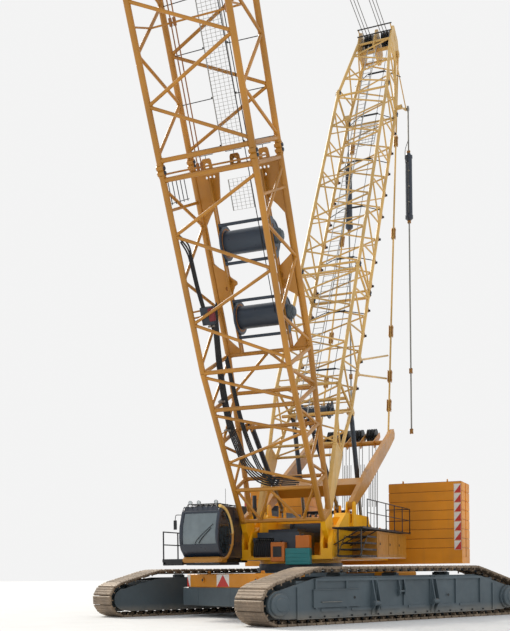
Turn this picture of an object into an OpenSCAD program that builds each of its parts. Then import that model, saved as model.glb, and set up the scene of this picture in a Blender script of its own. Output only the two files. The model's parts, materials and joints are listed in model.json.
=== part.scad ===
// Crawler crane with a lattice boom and a lattice mast, full size, in millimetres.
// The origin is on the ground under the slewing axis. +X is forward in the upper's boom plane,
// +Y is the crane's left and +Z is up. The crawlers are turned under the upper.

/* [Crawlers] */
// Angle of the crawlers under the upper, as parked, in degrees
crawler_yaw = -31; // [-45:1:45]
// Distance between the two track centre lines
track_gauge = 10000; // [9400:10:10600]
// Width of a track shoe
shoe_w = 1500; // [1200:10:1500]
// Length of one shoe along the chain, with its gap
shoe_pitch = 400; // [360:5:440]
// Thickness of a shoe
shoe_t = 80; // [60:1:100]
// Depth of the gap between two shoes
shoe_gap_deep = 50; // [20:1:55]
// Half distance between the end wheels of a track
wheel_half = 5560; // [5200:10:5800]
// Outer radius of the track where it turns round an end wheel
turn_r = 700; // [660:5:720]
// Height of the top run
track_h = 1880; // [1820:5:1960]
// Half length of the flat top run
top_half = 3850; // [3400:10:4100]
// Thickness of the chain lugs under the shoes
lug_t = 110; // [90:1:120]
// Width of the chain lugs
lug_w = 620; // [500:10:700]
// Width over the plates of a track frame
frame_w = 1300; // [1200:10:1400]
// Thickness of a track frame's side plate
side_t = 60; // [40:1:80]
// Number of rollers under each track frame
roller_n = 12; // [8:1:14]

/* [Carbody] */
// Half length of the carbody's middle box
box_half_x = 2200; // [2000:10:2300]
// Half width of the carbody's middle box
box_half_y = 1900; // [1700:10:2100]
// Height of the carbody's underside
carbody_z = 600; // [500:10:700]
// Height of the carbody's deck
carbody_top = 1640; // [1560:5:1680]
// Radius of the slewing ring
slew_r = 1650; // [1500:10:1750]
// Height of the upper's underside
deck_z = 2200; // [2140:5:2260]
// Depth of a carbody weight along the crawlers
ballast_deep = 1250; // [1000:10:1400]

/* [Upper frame] */
// Outer face of a side girder, from the centre
girder_y = 1860; // [1840:5:1900]
// Thickness of a girder's outer plate
girder_t = 90; // [60:1:100]
// Rear end of the upper frame
frame_rear = 8400; // [8000:10:8600]
// Height of the rear part of the side girders
girder_top = 3350; // [3200:10:3450]

/* [Counterweight] */
// Front face of the counterweight, behind the slewing axis
weight_front = 6500; // [6400:10:6700]
// Depth of the counterweight along the crane
weight_deep = 1900; // [1700:10:2000]
// Inner face of a stack
weight_in = 1920; // [1905:5:2000]
// Outer face of a stack
weight_out = 5200; // [4800:10:5400]
// Height of one slab
slab_h = 418; // [380:1:430]
// Number of slabs in a stack
slab_n = 8; // [4:1:8]
// Thickness of the counterweight tray
tray_t = 280; // [200:10:300]

/* [Cab] */
// Width of the cab
cab_w = 1560; // [1400:10:1600]
// Length of the cab
cab_l = 2250; // [2000:10:2400]
// Height of the cab
cab_h = 1950; // [1850:10:2050]
// Left wall of the cab, from the centre
cab_left = -1780; // [-1850:5:-1760]
// Front of the cab
cab_front = 4000; // [3800:10:4200]
// Thickness of the cab's walls
cab_t = 60; // [40:1:80]

/* [Boom] */
// Angle of the boom above the ground
boom_angle = 64; // [62:0.5:66]
// Boom foot pin, forward of the slewing axis
boom_foot_x = 1230; // [1200:5:1280]
// Boom foot pin's height
boom_foot_z = 2960; // [2930:5:3000]
// Length of the boom, from its foot pin to its head shaft
boom_len = 36000; // [35000:100:37000]
// Distance between the chords across the boom
boom_w = 3220; // [3180:10:3260]
// Distance between the chords from front to back
boom_d = 2450; // [2300:10:2600]
// Diameter of a boom chord
boom_chord = 210; // [150:5:220]
// Diameter of a boom brace
boom_brace = 110; // [70:5:120]

/* [Mast] */
// Angle of the mast, from forward
mast_angle = 118.2; // [116:0.2:120]
// Mast foot pin, forward of the slewing axis
mast_foot_x = 800; // [760:5:840]
// Mast foot pin's height
mast_foot_z = 3950; // [3900:5:4000]
// Length of the mast, from its foot pin to its head shaft
mast_len = 28800; // [28000:100:29500]
// Distance between the chords across the mast's foot
mast_w = 2800; // [2760:10:2840]
// Distance between the chords across the mast's shoulder
mast_top_w = 2480; // [2300:10:2600]
// Distance between the chords from front to back
mast_d = 1800; // [1600:10:1900]
// Diameter of a mast chord
mast_chord = 150; // [110:5:180]
// Diameter of a mast brace
mast_brace = 75; // [50:5:90]

/* [Rigging frame] */
// Pivot of the rear frame, behind the slewing axis
aframe_foot_x = -900; // [-950:5:-850]
// Height of the rear frame's pivot
aframe_foot_z = 4350; // [4300:5:4400]
// Length of the rear frame
aframe_len = 7540; // [7400:10:7700]
// Angle of the rear frame, from forward
aframe_angle = 151; // [150:0.2:152]
// Distance between the rear frame's beams
aframe_w = 3640; // [3600:10:3680]
// Radius of the pivot pins
pin_r = 90; // [70:1:100]
// Clearance round each pin
pin_gap = 0.3; // [0.2:0.1:0.5]

/* [Hidden] */

yellow = [0.85, 0.58, 0.08];
slate = [0.32, 0.36, 0.39];
dark = [0.18, 0.22, 0.27];
dusty = [0.55, 0.48, 0.4];
steel = [0.6, 0.6, 0.58];

// Basic shapes
// A bar of n flats between two points, turned about its own line by roll
module bar(a, b, d, n = 8, roll = 0) {
  v = b - a;
  len = norm(v);
  translate(a) rotate([0, acos(v[2] / len), atan2(v[1], v[0])]) rotate([0, 0, roll])
    cylinder(h = len, d = d, $fn = n);
}
// A round shaft along Y at [x, z]
module shaft(x, z, y0, y1, r) {
  translate([x, y1, z]) rotate([90, 0, 0]) cylinder(h = y1 - y0, r = r, $fn = 32);
}
// A profile drawn in X and Z, made thick from y0 to y1
module plate(points, y0, y1) {
  translate([0, y1, 0]) rotate([90, 0, 0]) linear_extrude(y1 - y0) polygon(points);
}
// A box between two corners
module block(lo, hi) {
  translate(lo) cube(hi - lo);
}
// An eye along Y at [x, z] with its bore left to the caller
module eye(x, z, y0, y1, r) {
  shaft(x, z, y0, y1, r);
}
module both_sides() {
  children();
  mirror([0, 1, 0]) children();
}
// Places along a frame that leans back by angle from forward, from its foot pin
module boom_frame() {
  translate([boom_foot_x, 0, boom_foot_z]) rotate([0, -boom_angle, 0]) children();
}
module mast_frame() {
  translate([mast_foot_x, 0, mast_foot_z]) rotate([0, -mast_angle, 0]) children();
}
module aframe_frame() {
  translate([aframe_foot_x, 0, aframe_foot_z]) rotate([0, -aframe_angle, 0]) children();
}
function boom_point(s, d) = [boom_foot_x + s * cos(boom_angle) - d * sin(boom_angle),
  boom_foot_z + s * sin(boom_angle) + d * cos(boom_angle)];
function mast_point(s, d) = [mast_foot_x + s * cos(mast_angle) - d * sin(mast_angle),
  mast_foot_z + s * sin(mast_angle) + d * cos(mast_angle)];
function aframe_point(s, d) = [aframe_foot_x + s * cos(aframe_angle) - d * sin(aframe_angle),
  aframe_foot_z + s * sin(aframe_angle) + d * cos(aframe_angle)];

// Crawlers, drawn along X at y = 0 and then moved out
module at_track(side) {
  rotate([0, 0, crawler_yaw]) translate([0, side * track_gauge / 2, 0]) children();
}
top_r = 400;
// Wheels of the loop, counter-clockwise from the bottom rear: x, z, outer radius
loop_rounds = [[-wheel_half, turn_r, turn_r], [wheel_half, turn_r, turn_r],
  [top_half, track_h - top_r, top_r], [-top_half, track_h - top_r, top_r]];
function turn(k) = loop_rounds[k % 4];
// Direction of the outward normal of the run that follows wheel k
function run_normal(k) =
  let (a = turn(k), b = turn(k + 1), v = [b[0] - a[0], b[1] - a[1]])
  atan2(v[1], v[0]) - acos((a[2] - b[2]) / norm(v));
function angle_up(a, b) = b >= a ? b : angle_up(a, b + 360);
function turn_start(k) = run_normal(k + 3) > run_normal(k) ? run_normal(k + 3) - 360 : run_normal(k + 3);
function turn_len(k) = turn(k)[2] * (run_normal(k) - turn_start(k)) * PI / 180;
function run_len(k) =
  let (a = turn(k), b = turn(k + 1), v = [b[0] - a[0], b[1] - a[1]])
  sqrt(v[0] * v[0] + v[1] * v[1] - (a[2] - b[2]) * (a[2] - b[2]));
function loop_len() = turn_len(0) + run_len(0) + turn_len(1) + run_len(1)
  + turn_len(2) + run_len(2) + turn_len(3) + run_len(3);
// Point of the loop at length s from wheel k's first contact, moved inwards by depth
function loop_point(s, depth, k = 0) =
  s < turn_len(k) ? let (a = turn_start(k) + s / turn(k)[2] * 180 / PI)
    [turn(k)[0] + (turn(k)[2] - depth) * cos(a), turn(k)[1] + (turn(k)[2] - depth) * sin(a)]
  : s < turn_len(k) + run_len(k) ? let (a = run_normal(k), t = s - turn_len(k))
    [turn(k)[0] + (turn(k)[2] - depth) * cos(a) - t * sin(a),
     turn(k)[1] + (turn(k)[2] - depth) * sin(a) + t * cos(a)]
  : k < 3 ? loop_point(s - turn_len(k) - run_len(k), depth, k + 1)
  : loop_point(s - turn_len(k) - run_len(k), depth, 0);
shoe_n = round(loop_len() / shoe_pitch);
shoe_step = loop_len() / shoe_n;
shoe_gap = 36;
// Each shoe: its place from its start and its depth from the outer line
shoe_corners = [[0, shoe_gap_deep], [shoe_gap, shoe_gap_deep], [shoe_gap, 0], [shoe_step, 0]];

module track() {
  color(dusty) {
    translate([0, shoe_w / 2, 0]) rotate([90, 0, 0]) linear_extrude(shoe_w) difference() {
      polygon([for (i = [0 : shoe_n - 1], c = shoe_corners) loop_point(i * shoe_step + c[0], c[1])]);
      polygon([for (i = [0 : shoe_n - 1]) loop_point(i * shoe_step, shoe_t)]);
    }
    for (y = [-1, 1]) translate([0, y * (lug_w - 160) / 2 + 80, 0]) rotate([90, 0, 0])
      linear_extrude(160) difference() {
        polygon([for (i = [0 : shoe_n - 1]) loop_point(i * shoe_step, shoe_t - 5)]);
        polygon([for (i = [0 : shoe_n - 1]) loop_point(i * shoe_step, shoe_t + lug_t)]);
      }
  }
}
module track_left() at_track(1) track();
module track_right() at_track(-1) track();

// Side plate of a track frame: a long plate with round ends
plate_low = 225;
plate_high = 1560;
end_cap_r = 430;
module frame_profile(cut) {
  polygon([[-wheel_half, turn_r - end_cap_r + cut], [-wheel_half + 300, plate_low + cut],
    [wheel_half - 300, plate_low + cut], [wheel_half, turn_r - end_cap_r + cut],
    [wheel_half, turn_r + end_cap_r - cut], [top_half + 250, plate_high - 60 - cut],
    [top_half - 250, plate_high - cut], [-top_half + 250, plate_high - cut],
    [-top_half - 250, plate_high - 60 - cut], [-wheel_half, turn_r + end_cap_r - cut]]);
}
roller_r = 200;
roller_z = shoe_t + lug_t + roller_r;
carrier_r = 90;
carrier_z = track_h - shoe_t - lug_t - carrier_r;
roller_step = (2 * wheel_half - 1900) / (roller_n - 1);
// The ribs end where the plate is still high
recess_step = (top_half + 150) / 3;
box_low = 640;
box_high = 1440;
carrier_x = top_half - 1250;
// Frame of one track, its outer side at +Y
module track_frame() {
  color(slate) {
    for (y = [-frame_w / 2, frame_w / 2 - side_t]) {
      translate([0, y + side_t, 0]) rotate([90, 0, 0]) linear_extrude(side_t) frame_profile(0);
      for (x = [-wheel_half, wheel_half]) shaft(x, turn_r, y, y + side_t, end_cap_r);
    }
    // Hollow box between the plates, closed off short of the end wheels
    block([-wheel_half + 800, -frame_w / 2 + side_t, box_low],
      [wheel_half - 800, frame_w / 2 - side_t, box_high]);
    // Hub covers, round and stepped
    for (x = [-wheel_half, wheel_half]) {
      shaft(x, turn_r, frame_w / 2, frame_w / 2 + 70, 350);
      shaft(x, turn_r, frame_w / 2 + 70, frame_w / 2 + 110, 230);
    }
    // Upright ribs and pockets on the outer plate
    for (i = [-3 : 3]) {
      block([i * recess_step - 40, frame_w / 2, 520], [i * recess_step + 40, frame_w / 2 + 60, 1500]);
      if (i < 3) block([i * recess_step + 220, frame_w / 2, 420],
        [(i + 1) * recess_step - 220, frame_w / 2 + 30, 520]);
    }
    block([-3 * recess_step - 40, frame_w / 2, 1420], [3 * recess_step + 40, frame_w / 2 + 75, 1500]);
    // Stands of the carrier rollers
    for (x = [-carrier_x, 0, carrier_x], y = [-360, 300])
      block([x - 70, y, box_high], [x + 70, y + 60, carrier_z + 60]);
  }
}
module track_frames() {
  at_track(1) track_frame();
  at_track(-1) mirror([0, 1, 0]) track_frame();
}

wheel_gap = 6;
// The lugs of two shoes meet in a corner, so the wheel stays inside their flats
wheel_r = (turn_r - shoe_t - lug_t) * cos(shoe_step / turn_r * 90 / PI) - wheel_gap;
wheel_inner = frame_w / 2 - side_t;
module wheel_set() {
  color(slate) {
    for (x = [-wheel_half, wheel_half]) {
      shaft(x, turn_r, -lug_w / 2, lug_w / 2, wheel_r);
      shaft(x, turn_r, -wheel_inner, wheel_inner, 160);
    }
    for (i = [0 : roller_n - 1]) {
      x = -wheel_half + 950 + i * roller_step;
      shaft(x, roller_z + 1, -lug_w / 2, lug_w / 2, roller_r - 1);
      shaft(x, roller_z + 1, -wheel_inner, wheel_inner, 70);
    }
    for (x = [-carrier_x, 0, carrier_x]) shaft(x, carrier_z - 1, -300, 300, carrier_r - 1);
  }
}
module track_wheels() {
  at_track(1) wheel_set();
  at_track(-1) wheel_set();
}

// Carbody with its cross beams, turned with the crawlers
beam_x = 1750;
beam_w = 900;
arm_end = track_gauge / 2 - frame_w / 2;
module carbody() color(slate) rotate([0, 0, crawler_yaw]) {
  difference() {
    block([-box_half_x, -box_half_y, carbody_z], [box_half_x, box_half_y, carbody_top]);
    translate([0, 0, carbody_z - 1]) cylinder(h = 300, r = slew_r - 400, $fn = 48);
  }
  for (s = [-1, 1], e = [-1, 1]) {
    plate_y = e > 0 ? [box_half_y, arm_end] : [-arm_end, -box_half_y];
    block([s * beam_x - beam_w / 2, plate_y[0], carbody_z + 60],
      [s * beam_x + beam_w / 2, plate_y[1], carbody_top - 160]);
    // Wide feet of the beams on the track frames
    foot_y = e > 0 ? [arm_end - 220, arm_end] : [-arm_end, -arm_end + 220];
    block([s * beam_x - beam_w / 2 - 180, foot_y[0], carbody_z],
      [s * beam_x + beam_w / 2 + 180, foot_y[1], carbody_top - 100]);
  }
  translate([0, 0, carbody_top]) cylinder(h = 90, r = slew_r + 150, $fn = 64);
}
module carbody_weight() {
  x0 = box_half_x;
  x1 = box_half_x + ballast_deep;
  color(slate) block([x0, -3300, 440], [x1, 3300, 1170]);
  color(yellow) difference() {
    block([x0, -2950, 1170], [x1 + 20, 2950, carbody_top + 50]);
    block([x0 - 1, -1200, carbody_top - 20], [x0 + 300, 1200, carbody_top + 51]);
  }
}
module carbody_weights() for (a = [0, 180]) rotate([0, 0, crawler_yaw + a]) carbody_weight();
ring_z = carbody_top + 90;
ring_top = deck_z - 150;
module slew_ring() color(steel) difference() {
  union() {
    translate([0, 0, ring_z]) cylinder(h = ring_top - ring_z, r = slew_r, $fn = 96);
    translate([0, 0, ring_z + 60]) cylinder(h = 110, r = slew_r + 90, $fn = 96);
  }
  translate([0, 0, ring_z - 1]) cylinder(h = ring_top - ring_z + 2, r = slew_r - 260, $fn = 96);
}

// Upper frame
girder_in = 1420;
leg_t = 180;
side_gap = 6;
slot_in = boom_w / 2 - leg_t / 2 - side_gap;
slot_out = boom_w / 2 + leg_t / 2 + side_gap;
foot_r = 230;
mast_eye_r = 190;
mast_leg_in = mast_w / 2 - 80;
mast_leg_out = mast_w / 2 + 80;
// Outline of a side girder: x, z
girder_points = [[boom_foot_x + 470, deck_z], [boom_foot_x + 520, boom_foot_z - 150],
  [boom_foot_x + 260, boom_foot_z + 330], [boom_foot_x - 200, boom_foot_z + 380],
  [-150, 4020], [-3300, 4020], [-3700, girder_top], [-frame_rear, girder_top], [-frame_rear, deck_z + 300],
  [-frame_rear + 900, deck_z]];
module girder() {
  difference() {
    union() {
      plate(girder_points, girder_in, girder_y);
      shaft(boom_foot_x, boom_foot_z, girder_y, girder_y + 60, foot_r + 30);
    }
    // The slot that takes the boom foot, from above and ahead
    plate([[boom_foot_x - 300, boom_foot_z - 360], [boom_foot_x + 900, boom_foot_z - 360],
      [boom_foot_x + 900, 4300], [boom_foot_x - 500, 4300]], slot_in, slot_out);
    // The mast's foot stands in front of the raised part
    plate([[mast_foot_x + 900, 3500], [mast_foot_x + 900, 4300], [150, 4300], [150, 3500]],
      girder_in - 1, slot_out);
    // Pockets of the outer plate behind the raised part
    for (i = [0 : 2]) block([-frame_rear + 1500 + i * 1150, girder_y - 40, deck_z + 250],
      [-frame_rear + 2350 + i * 1150, girder_y + 1, girder_top - 200]);
  }
  shaft(boom_foot_x, boom_foot_z, slot_in - 1, slot_out + 1, pin_r);
}
// Bracket of the mast foot, inside the leg
mast_bracket = [[mast_foot_x + 420, deck_z + 150], [mast_foot_x + 190, mast_foot_z],
  [mast_foot_x + 130, mast_foot_z + 140],
  [mast_foot_x, mast_foot_z + 190], [mast_foot_x - 130, mast_foot_z + 140],
    [mast_foot_x - 190, mast_foot_z],
  [mast_foot_x - 700, deck_z + 150]];
rear_eye_r = 170;
aframe_y = aframe_w / 2;
// Two ears on the deck for the eye of a backstop's rod, with the heads of its pin outside
stop_eye = 75;
ear_t = 40;
stop_pin_r = 50;
module stop_ears(x, z, y, low) {
  for (side = [-1, 1]) {
    y0 = y + side * (stop_eye + side_gap + ear_t / 2) - ear_t / 2;
    plate([[x - 130, low], [x - 90, z + 100], [x + 90, z + 100], [x + 130, low]], y0, y0 + ear_t);
    y1 = y + side * (stop_eye + side_gap + ear_t + 9) - 10;
    shaft(x, z, y1, y1 + 20, stop_pin_r + 15);
  }
}
anchor_x = -7300;
anchor_z = girder_top + 260;
stop_low_x = -1150;
stop_low_z = 4280;
mstop_low_x = -4300;
mstop_low_z = 3620;
module upper_frame() color(yellow) {
  both_sides() {
    girder();
    plate(mast_bracket, mast_leg_in - side_gap - 110, mast_leg_in - side_gap);
    shaft(mast_foot_x, mast_foot_z, mast_leg_in - side_gap - 1, mast_leg_out + 20, pin_r);
    // Ears of the rear frame's pivot, one each side of its beam
    for (y = [aframe_y - 170, aframe_y + 100])
      plate([[aframe_foot_x + 260, y < girder_y - 60 ? 3900 : 3500],
        [aframe_foot_x + 150, aframe_foot_z + 60],
        [aframe_foot_x + 60, aframe_foot_z + 150], [aframe_foot_x - 60, aframe_foot_z + 150],
        [aframe_foot_x - 150, aframe_foot_z + 60], [aframe_foot_x - 260, y < girder_y - 60 ? 3900 : 3500]],
          y, y + 70);
    shaft(aframe_foot_x, aframe_foot_z, aframe_y - 101, aframe_y + 101, pin_r - 20);
    block([aframe_foot_x - 260, girder_y - 1, 3500], [aframe_foot_x + 260, aframe_y + 170, 3640]);
  }
  // Floor, cross walls and the ring under the floor
  block([-frame_rear + 900, -girder_in, deck_z], [boom_foot_x + 470, girder_in, deck_z + 150]);
  for (x = [-5580, -3300]) block([x, -girder_in, deck_z + 150], [x + 90, girder_in, girder_top - 250]);
  block([-frame_rear, -girder_in, deck_z + 300], [-frame_rear + 200, girder_in, girder_top]);
  translate([0, 0, ring_top + pin_gap]) cylinder(h = deck_z - ring_top, r = slew_r - 40, $fn = 96);
  // Cross tube that carries the backstops and the anchor of the rear tackle
  block([stop_low_x - 100, -girder_in, 3700], [stop_low_x + 100, girder_in, 3900]);
  block([anchor_x - 160, -girder_in, girder_top - 150], [anchor_x + 160, girder_in, girder_top]);
  for (y = [-1300, -660, -20, 620, 1260])
    plate([[anchor_x - 150, girder_top - 1], [anchor_x - 90, anchor_z + 110],
      [anchor_x + 90, anchor_z + 110],
      [anchor_x + 150, girder_top - 1]], y, y + 40);
  shaft(anchor_x, anchor_z, -1300, 1300, 55);
  both_sides() {
    block([mstop_low_x - 130, mstop_y - 140, 3200], [mstop_low_x + 130, girder_in, 3400]);
    stop_ears(mstop_low_x, mstop_low_z, mstop_y, 3399);
    stop_ears(stop_low_x, stop_low_z, stop_y, 3899);
  }
}
tank_x = [boom_foot_x - 1300, boom_foot_x + 450];
module deck_tank() color(dark) {
  block([tank_x[0], -1150, deck_z + 150], [tank_x[1], 560, deck_z + 1050]);
  block([tank_x[0] + 200, -900, deck_z + 1050], [tank_x[1] - 500, 300, deck_z + 1180]);
}
// Engine house on the right: a cabinet with louvred doors round an engine block
house_x = [-5700, 1000];
house_gap = 30;
// The house stands outside the ears of the rear frame
house_y = [-3650, -aframe_y - 200];
house_h = 2150;
house_z = [deck_z + 40, deck_z + house_h];
module engine_house() {
  color(dark) difference() {
    block([house_x[0], house_y[0], house_z[0]], [house_x[1], house_y[1], house_z[1]]);
    for (i = [0 : 4]) block([house_x[0] + 250 + i * 1300, house_y[0] - 1, house_z[0] + 300],
      [house_x[0] + 1350 + i * 1300, house_y[0] + 30, house_z[1] - 250]);
    block([house_x[0] - 1, house_y[0] + 250, house_z[0] + 350],
      [house_x[0] + 120, house_y[1] - 250, house_z[1] - 300]);
  }
  color(dark) for (i = [0 : 4], k = [0 : 7])
    block([house_x[0] + 250 + i * 1300, house_y[0] - 0, house_z[0] + 380 + k * 175],
      [house_x[0] + 1350 + i * 1300, house_y[0] + 31, house_z[0] + 440 + k * 175]);
  color(dark) for (k = [0 : 8])
    block([house_x[0], house_y[0] + 249, house_z[0] + 400 + k * 150],
      [house_x[0] + 121, house_y[1] - 249, house_z[0] + 450 + k * 150]);
  color(dark) block([house_x[0], house_y[1], deck_z + 60], [house_x[1], -girder_y, deck_z + 400]);
  color(dark) {
    translate([house_x[0] + 1800, -2700, house_z[1]]) cylinder(h = 320, r = 260, $fn = 32);
    translate([house_x[0] + 3200, -3000, house_z[1]]) cylinder(h = 700, r = 90, $fn = 24);
  }
}
// Deck winches between the girders: x, z, drum radius
deck_drums = [[-2300, 3420, 480], [-4700, 3300, 480], [-6300, 3250, 420]];
module deck_winches() color(dark) for (d = deck_drums) {
  shaft(d[0], d[1], -1000, 1000, d[2]);
  for (y = [-1080, 1000]) shaft(d[0], d[1], y, y + 80, d[2] + 170);
  shaft(d[0], d[1], -1180, 1180, 120);
  for (y = [-1200, 1150])
    plate([[d[0] - 400, deck_z + 150], [d[0] - 160, d[1] + 160], [d[0] + 160, d[1] + 160],
    [d[0] + 400, deck_z + 150]], y, y + 50);
}
// Cabinets, walkway, rails and steps on the left
walk_z = 3380;
walk_x = [-5900, 1650];
walk_y = [girder_y, 3050];
rail_h = 1050;
post_step = 1500;
module rails(x0, x1, y, z0) {
  n = round((x1 - x0) / post_step);
  for (i = [0 : n]) block([x0 + (x1 - x0 - 40) * i / n, y, z0],
    [x0 + (x1 - x0 - 40) * i / n + 40, y + 40, z0 + rail_h]);
  for (z = [z0 + rail_h / 2, z0 + rail_h - 40]) block([x0, y, z], [x1, y + 40, z + 40]);
}
module walkway_left() color(yellow) {
  block([-5700, walk_y[0], deck_z + 60], [-900, 2900, walk_z - 60]);
  block([walk_x[0], walk_y[0], walk_z - 60], [walk_x[1], walk_y[1], walk_z]);
  rails(walk_x[0], walk_x[1] - 700, walk_y[1] - 40, walk_z);
  // Steps down to the track, in front of the cabinets
  for (i = [0 : 3]) block([-900, walk_y[0] + 150, deck_z + 100 + i * 250],
    [1500 - i * 350, walk_y[0] + 1000, deck_z + 140 + i * 250]);
  for (y = [walk_y[0] + 150, walk_y[0] + 960]) block([1300, y, deck_z + 99], [1360, y + 40, walk_z - 59]);
}
// Platform of the cab on its arm
platform_z = [deck_z - 60, deck_z + 60];
cab_right = cab_left - cab_w;
cab_floor = platform_z[1];
cab_rear = cab_front - cab_l;
module cab_platform() {
  color(slate) {
    block([cab_rear - 500, cab_right - 850, platform_z[0]], [cab_front - 250, -1900, platform_z[1]]);
    block([house_x[1] + house_gap, -2500, platform_z[0] - 20],
      [boom_foot_x + 460, -girder_y, platform_z[1] + 200]);
    block([boom_foot_x, -2450, platform_z[0] - 20], [cab_front - 900, -1950, platform_z[0] + 1]);
  }
  color(yellow) rails(cab_rear - 450, cab_front - 300, cab_right - 850, platform_z[1]);
}
// The cab's side outline: x, z. The front leans out and curves in at roof and floor
cab_side = [[cab_rear, cab_floor], [cab_front - 480, cab_floor], [cab_front - 120, cab_floor + 330],
  [cab_front, cab_floor + 800], [cab_front - 40, cab_floor + 1200], [cab_front - 230, cab_floor + 1700],
  [cab_front - 420, cab_floor + cab_h], [cab_rear, cab_floor + cab_h]];
door_x = [cab_rear + 450, cab_rear + 1250];
door_z = [cab_floor + 90, cab_floor + cab_h - 150];
door_travel = 820;
window = [[cab_rear + 1330, cab_floor + 330], [cab_front - 470, cab_floor + 330],
  [cab_front - 230, cab_floor + 620],
  [cab_front - 140, cab_floor + 1050], [cab_front - 300, cab_floor + 1500],
    [cab_front - 480, cab_floor + cab_h - 220],
  [cab_rear + 1330, cab_floor + cab_h - 220]];
screen_y = [cab_right + 130, cab_left - 130];
module cab_hollow() {
  difference() {
    plate(cab_side, cab_right, cab_left);
    plate([[cab_rear + cab_t, cab_floor + cab_t], [cab_front - 500, cab_floor + cab_t],
      [cab_front - 190, cab_floor + 360],
      [cab_front - cab_t, cab_floor + 800], [cab_front - 100, cab_floor + 1200],
        [cab_front - 290, cab_floor + 1690],
      [cab_front - 470, cab_floor + cab_h - cab_t], [cab_rear + cab_t, cab_floor + cab_h - cab_t]],
      cab_right + cab_t, cab_left - cab_t);
  }
}
roof_x = [cab_rear + 900, cab_front - 560];
rear_z = [cab_floor + 900, cab_floor + cab_h - 250];
pane_gap = 0.3;
module cab_shell() {
  color(dark) difference() {
    cab_hollow();
    // Doorway on the right side, and the windows of both sides
    block([door_x[0], cab_right - 1, door_z[0]], [door_x[1], cab_right + cab_t + 1, door_z[1]]);
    plate(window, cab_right - 1, cab_right + cab_t + 1);
    plate(window, cab_left - cab_t - 1, cab_left + 1);
    // Windscreen and roof window
    block([cab_front - 420, screen_y[0], cab_floor + 480],
      [cab_front + 1, screen_y[1], cab_floor + cab_h - 260]);
    block([roof_x[0], screen_y[0], cab_floor + cab_h - cab_t - 1],
      [roof_x[1], screen_y[1], cab_floor + cab_h + 1]);
    block([cab_rear - 1, screen_y[0], rear_z[0]], [cab_rear + cab_t + 1, screen_y[1], rear_z[1]]);
  }
  // Rail that the door hangs on
  color(dark) block([door_x[0] - door_travel, cab_right - 70, door_z[1] + 20],
    [door_x[1] + 60, cab_right, door_z[1] + 60]);
}
glass_t = 12;
module cab_glass() color([0.3, 0.35, 0.4, 0.4]) {
  // The panes lie inside the openings of the walls
  intersection() {
    plate([[cab_front - 190, cab_floor + 360], [cab_front - cab_t, cab_floor + 800],
      [cab_front - 100, cab_floor + 1200],
      [cab_front - 290, cab_floor + 1690], [cab_front - 270, cab_floor + 1700],
        [cab_front - 80, cab_floor + 1205],
      [cab_front - cab_t + 22, cab_floor + 800], [cab_front - 168, cab_floor + 352]],
      screen_y[0] + pane_gap, screen_y[1] - pane_gap);
    block([cab_front - 420, screen_y[0], cab_floor + 480 + pane_gap],
      [cab_front + 1, screen_y[1], cab_floor + cab_h - 260 - pane_gap]);
  }
  for (y = [cab_right + 24, cab_left - 24 - glass_t])
    plate([for (p = window) [p[0] + (p[0] < cab_rear + 1400 ? 1 : -1) * pane_gap,
    p[1] + (p[1] < cab_floor + 700 ? 1 : -1) * pane_gap]], y, y + glass_t);
  block([roof_x[0] + pane_gap, screen_y[0] + pane_gap, cab_floor + cab_h - 36],
    [roof_x[1] - pane_gap, screen_y[1] - pane_gap, cab_floor + cab_h - 36 + glass_t]);
  block([cab_rear + 24, screen_y[0] + pane_gap, rear_z[0] + pane_gap],
    [cab_rear + 24 + glass_t, screen_y[1] - pane_gap, rear_z[1] - pane_gap]);
}
module cab_seat() color(dark) {
  cx = cab_rear + 750;
  cy = (cab_left + cab_right) / 2;
  block([cx - 200, cy - 200, cab_floor + cab_t], [cx + 200, cy + 200, cab_floor + 400]);
  block([cx - 260, cy - 260, cab_floor + 400], [cx + 280, cy + 260, cab_floor + 520]);
  plate([[cx - 260, cab_floor + 520], [cx - 130, cab_floor + 520], [cx - 230, cab_floor + 1250],
    [cx - 340, cab_floor + 1250]],
    cy - 250, cy + 250);
  for (y = [cy - 380, cy + 280])
    block([cx - 200, y, cab_floor + cab_t], [cx + 250, y + 100, cab_floor + 620]);
  block([cab_front - 700, cy - 350, cab_floor + cab_t], [cab_front - 560, cy + 350, cab_floor + 480]);
}
// Door that slides back outside the wall, on two hangers
door_gap = 6;
door_t = 45;
door_edge = 40;
door_pane = [[door_x[0] + 90, cab_floor + 700], [door_x[1] - 90, door_z[1] - 90]];
door_out = cab_right - door_gap - door_t;
module cab_door() color(dark) {
  difference() {
    block([door_x[0] - door_edge, door_out, door_z[0] - door_edge + 10],
      [door_x[1] + door_edge, door_out + door_t, door_z[1] + 10]);
    block([door_pane[0][0], door_out - 1, door_pane[0][1]],
      [door_pane[1][0], door_out + door_t + 1, door_pane[1][1]]);
  }
  for (x = [door_x[0] + 60, door_x[1] - 160])
    block([x, door_out, door_z[1] + 9], [x + 100, door_out + door_t, door_z[1] + 20 - pane_gap]);
}
module cab_door_glass() color([0.3, 0.35, 0.4, 0.4])
  block([door_pane[0][0] + pane_gap, door_out + 15, door_pane[0][1] + pane_gap],
    [door_pane[1][0] - pane_gap, door_out + 15 + glass_t, door_pane[1][1] - pane_gap]);

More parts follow.
